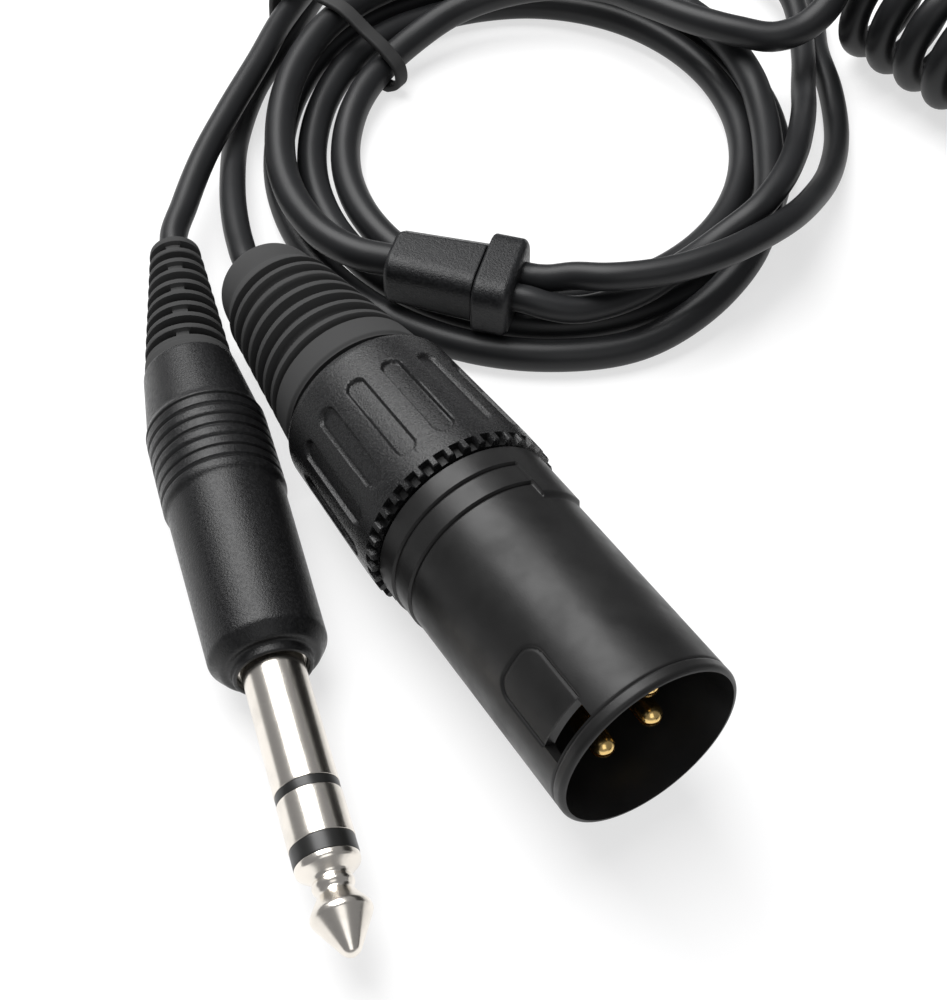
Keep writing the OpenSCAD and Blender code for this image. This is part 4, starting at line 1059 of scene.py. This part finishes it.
class CABLE_OT_curly(bpy.types.Operator):
    """Curly cord and the plain tail that takes it to the round plug."""

    bl_idname = "cable.curly"
    bl_label = "Curly Cord"

    def execute(self, context):
        s = context.scene.cable_cords
        d, radius, gap = mm(s.trunk_d, s.curl_r, s.curl_gap)
        t = np.linspace(0, s.curls + 0.5, (2 * s.curls + 1) * 24 + 1)
        curls, ahead, _ = curl_points(t, d + gap, radius, d)
        (start, end), (_, left) = curl_ends(s)
        path = np.vstack([np.linspace(start, curls[0], 5)[:-1], curls, np.linspace(curls[-1], end, 5)[1:]])
        up = np.pad(ahead, ((4, 4), (0, 0)), "edge")
        add_cord("curly", path, up, d, 20, "curly_cord")
        stub = [on_axis(ROUND, v) for v in (ROUND_REAR - 1.5 * d, ROUND_REAR, -3.0)]
        path = smooth_path(np.vstack([[end, end - d / 2 * left], TAIL, stub]), 0.8)
        add_cord("curly_end", path, UP, d, 24, "curly_tail")
        return {"FINISHED"}


class CABLE_OT_tie(bpy.types.Operator):
    """Tie: a round-edged band closed round the bundle."""

    bl_idname = "cable.tie"
    bl_label = "Cable Tie"

    def execute(self, context):
        s = context.scene.cable_cords
        w, t = mm(s.tie_w, s.tie_t)
        loop = np.asarray(TIE_LOOP)
        centre, rim = oval([[TIE_ANGLE, 0, 0], [TIE_ANGLE, 1, 0]])
        out = rim - centre
        along = np.cross(UP, out / span(out))
        points = centre + loop[:, :1] * out + loop[:, 1:] * UP
        path = smooth_path(np.vstack([points[-2:], points, points[:3]]), 0.25)
        off, third, half = span(path - points[0]), len(path) // 3, len(path) // 2
        path = path[int(np.argmin(off[:third])) : half + int(np.argmin(off[half:]))]
        path[:, 2] = np.maximum(path[:, 2], loop[:, 1].min())
        ahead = np.roll(path, -1, 0) - np.roll(path, 1, 0)
        normal = np.cross(along, ahead / span(ahead))
        corners = np.array([[-1, -1], [1, -1], [1, 1], [-1, 1]]) * (w / 2, t / 2)
        section = filleted(corners, 0.4, True, 6)
        grid = path[:, None] + section[None, :, :1] * along + section[None, :, 1:] * normal[:, None] - PART_CENTRE
        add_piece("tie_band", [(grid, 0.0, True)], finish_of(tie_plastic), "cable_tie", sharp=60.0)
        return {"FINISHED"}


class CABLE_OT_inner(bpy.types.Operator):
    """Finishes of the pieces that keep their solid form: carriers, cable grip, conductors and the round plug."""

    bl_idname = "cable.inner"
    bl_label = "Inner Pieces"

    def execute(self, context):
        for finish, nodes in (
            (finish_of(dark_moulding), ("xlr_insert", "round_insert")),
            (finish_of(grip_nylon), ("xlr_chuck",)),
            (finish_of(stranded_copper), [f"{plug}_conductors" for plug in ("xlr", "jack", "splitter", "round")]),
            (finish_of(grain, "handle"), ("round_shell", "round_latch")),
            (finish_of(contact_gold), ("round_contacts_set",)),
            (finish_of(boot_rubber), ("round_boot",)),
        ):
            for node in nodes:
                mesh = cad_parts[node].data
                mesh.materials.clear()
                mesh.materials.append(finish)
        return {"FINISHED"}


class CABLE_OT_stage(bpy.types.Operator):
    """White floor, soft lamps, pale world and the camera."""

    bl_idname = "cable.stage"
    bl_label = "Stage"

    def execute(self, context):
        s = context.scene.cable_stage
        side = np.linspace(-FLOOR_REACH, FLOOR_REACH, 3)
        x, y = np.meshgrid(side, side)
        points = np.stack([x, y, np.full_like(x, -FLOOR_DROP)], -1).reshape(-1, 3)
        corner = np.array([0, 1, 3, 4])[:, None]
        mesh = bpy.data.meshes.new("floor")
        mesh.from_pydata(points.tolist(), [], (corner + np.array([0, 1, 4, 3])).tolist())
        add_object("floor", mesh)
        f = Finish("white_floor")
        path = f.tree.nodes.new("ShaderNodeLightPath")
        rays = [Value(f, path.outputs[f"Is {kind} Ray"]) for kind in ("Camera", "Glossy", "Transmission")]
        seen = rays[0] + rays[1] + rays[2]
        paper = f.mix(f.noise(0.05), shade(s.floor, 1.0), shade(s.floor, 0.985))
        plain = f.node("ShaderNodeBsdfDiffuse", None, {"Color": paper})
        glow = f.node("ShaderNodeEmission", None, {"Color": (1, 1, 1, 1), "Strength": seen * FLOOR_GLOW})
        mesh.materials.append(f.close(f.node("ShaderNodeAddShader", None, {0: plain, 1: glow})))
        world = bpy.data.worlds.new("pale_world")
        context.scene.world = world
        world.use_nodes = True
        background = world.node_tree.nodes["Background"]
        background.inputs["Color"].default_value = WORLD_COLOUR
        background.inputs["Strength"].default_value = WORLD_STRENGTH
        for name, (at, aim, size, power) in LAMPS.items():
            lamp = bpy.data.lights.new(name, "AREA")
            lamp.shape = "RECTANGLE"
            lamp.size, lamp.size_y = size
            lamp.energy = power
            holder = add_object(name, lamp)
            holder.location = at
            x, y, z = np.array(aim) - np.array(at)
            holder.rotation_euler = (math.atan2(math.hypot(x, y), -z), 0, math.atan2(y, x) - math.pi / 2)
        camera = bpy.data.cameras.new("camera")
        camera.lens = s.lens
        camera.sensor_width = 36.0
        camera.clip_start = 0.001
        holder = add_object("camera", camera)
        holder.location = (-0.001 * PART_CENTRE[0], -0.001 * PART_CENTRE[1], s.camera_height)
        holder.rotation_euler = (math.pi / 2 - s.camera_pitch, 0, 0)
        context.scene.camera = holder
        context.scene.view_settings.view_transform = "Standard"
        return {"FINISHED"}


class CABLE_PT_panel(bpy.types.Panel):
    """Sidebar panel that lists the steps and their sizes and colours."""

    bl_idname = "CABLE_PT_panel"
    bl_label = "Audio Adapter Cable"
    bl_space_type = "VIEW_3D"
    bl_region_type = "UI"
    bl_category = "Cable"

    def draw(self, context):
        for step in STEPS:
            self.layout.operator(step.bl_idname)
        for key in GROUPS:
            group = getattr(context.scene, key)
            box = self.layout.box()
            for name in group.__annotations__:
                box.prop(group, name)


STEPS = (
    CABLE_OT_stage,
    CABLE_OT_xlr_shell,
    CABLE_OT_xlr_contacts,
    CABLE_OT_xlr_collar,
    CABLE_OT_xlr_boot,
    CABLE_OT_jack_handle,
    CABLE_OT_jack_relief,
    CABLE_OT_jack_finger,
    CABLE_OT_splitter,
    CABLE_OT_trunk,
    CABLE_OT_legs,
    CABLE_OT_curly,
    CABLE_OT_tie,
    CABLE_OT_inner,
)
GROUPS = {
    "cable_colours": CableColours,
    "cable_xlr": CableXlr,
    "cable_jack": CableJack,
    "cable_cords": CableCords,
    "cable_stage": CableStage,
}


def register():
    for item in (*GROUPS.values(), *STEPS, CABLE_PT_panel):
        bpy.utils.register_class(item)
    for key, group in GROUPS.items():
        setattr(bpy.types.Scene, key, bpy.props.PointerProperty(type=group))


def unregister():
    for key in GROUPS:
        delattr(bpy.types.Scene, key)
    for item in (CABLE_PT_panel, *reversed(STEPS), *reversed(GROUPS.values())):
        bpy.utils.unregister_class(item)


def main():
    """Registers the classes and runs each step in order."""
    register()
    for step in STEPS:
        family, name = step.bl_idname.split(".")
        getattr(getattr(bpy.ops, family), name)()


if __name__ == "__main__":
    main()
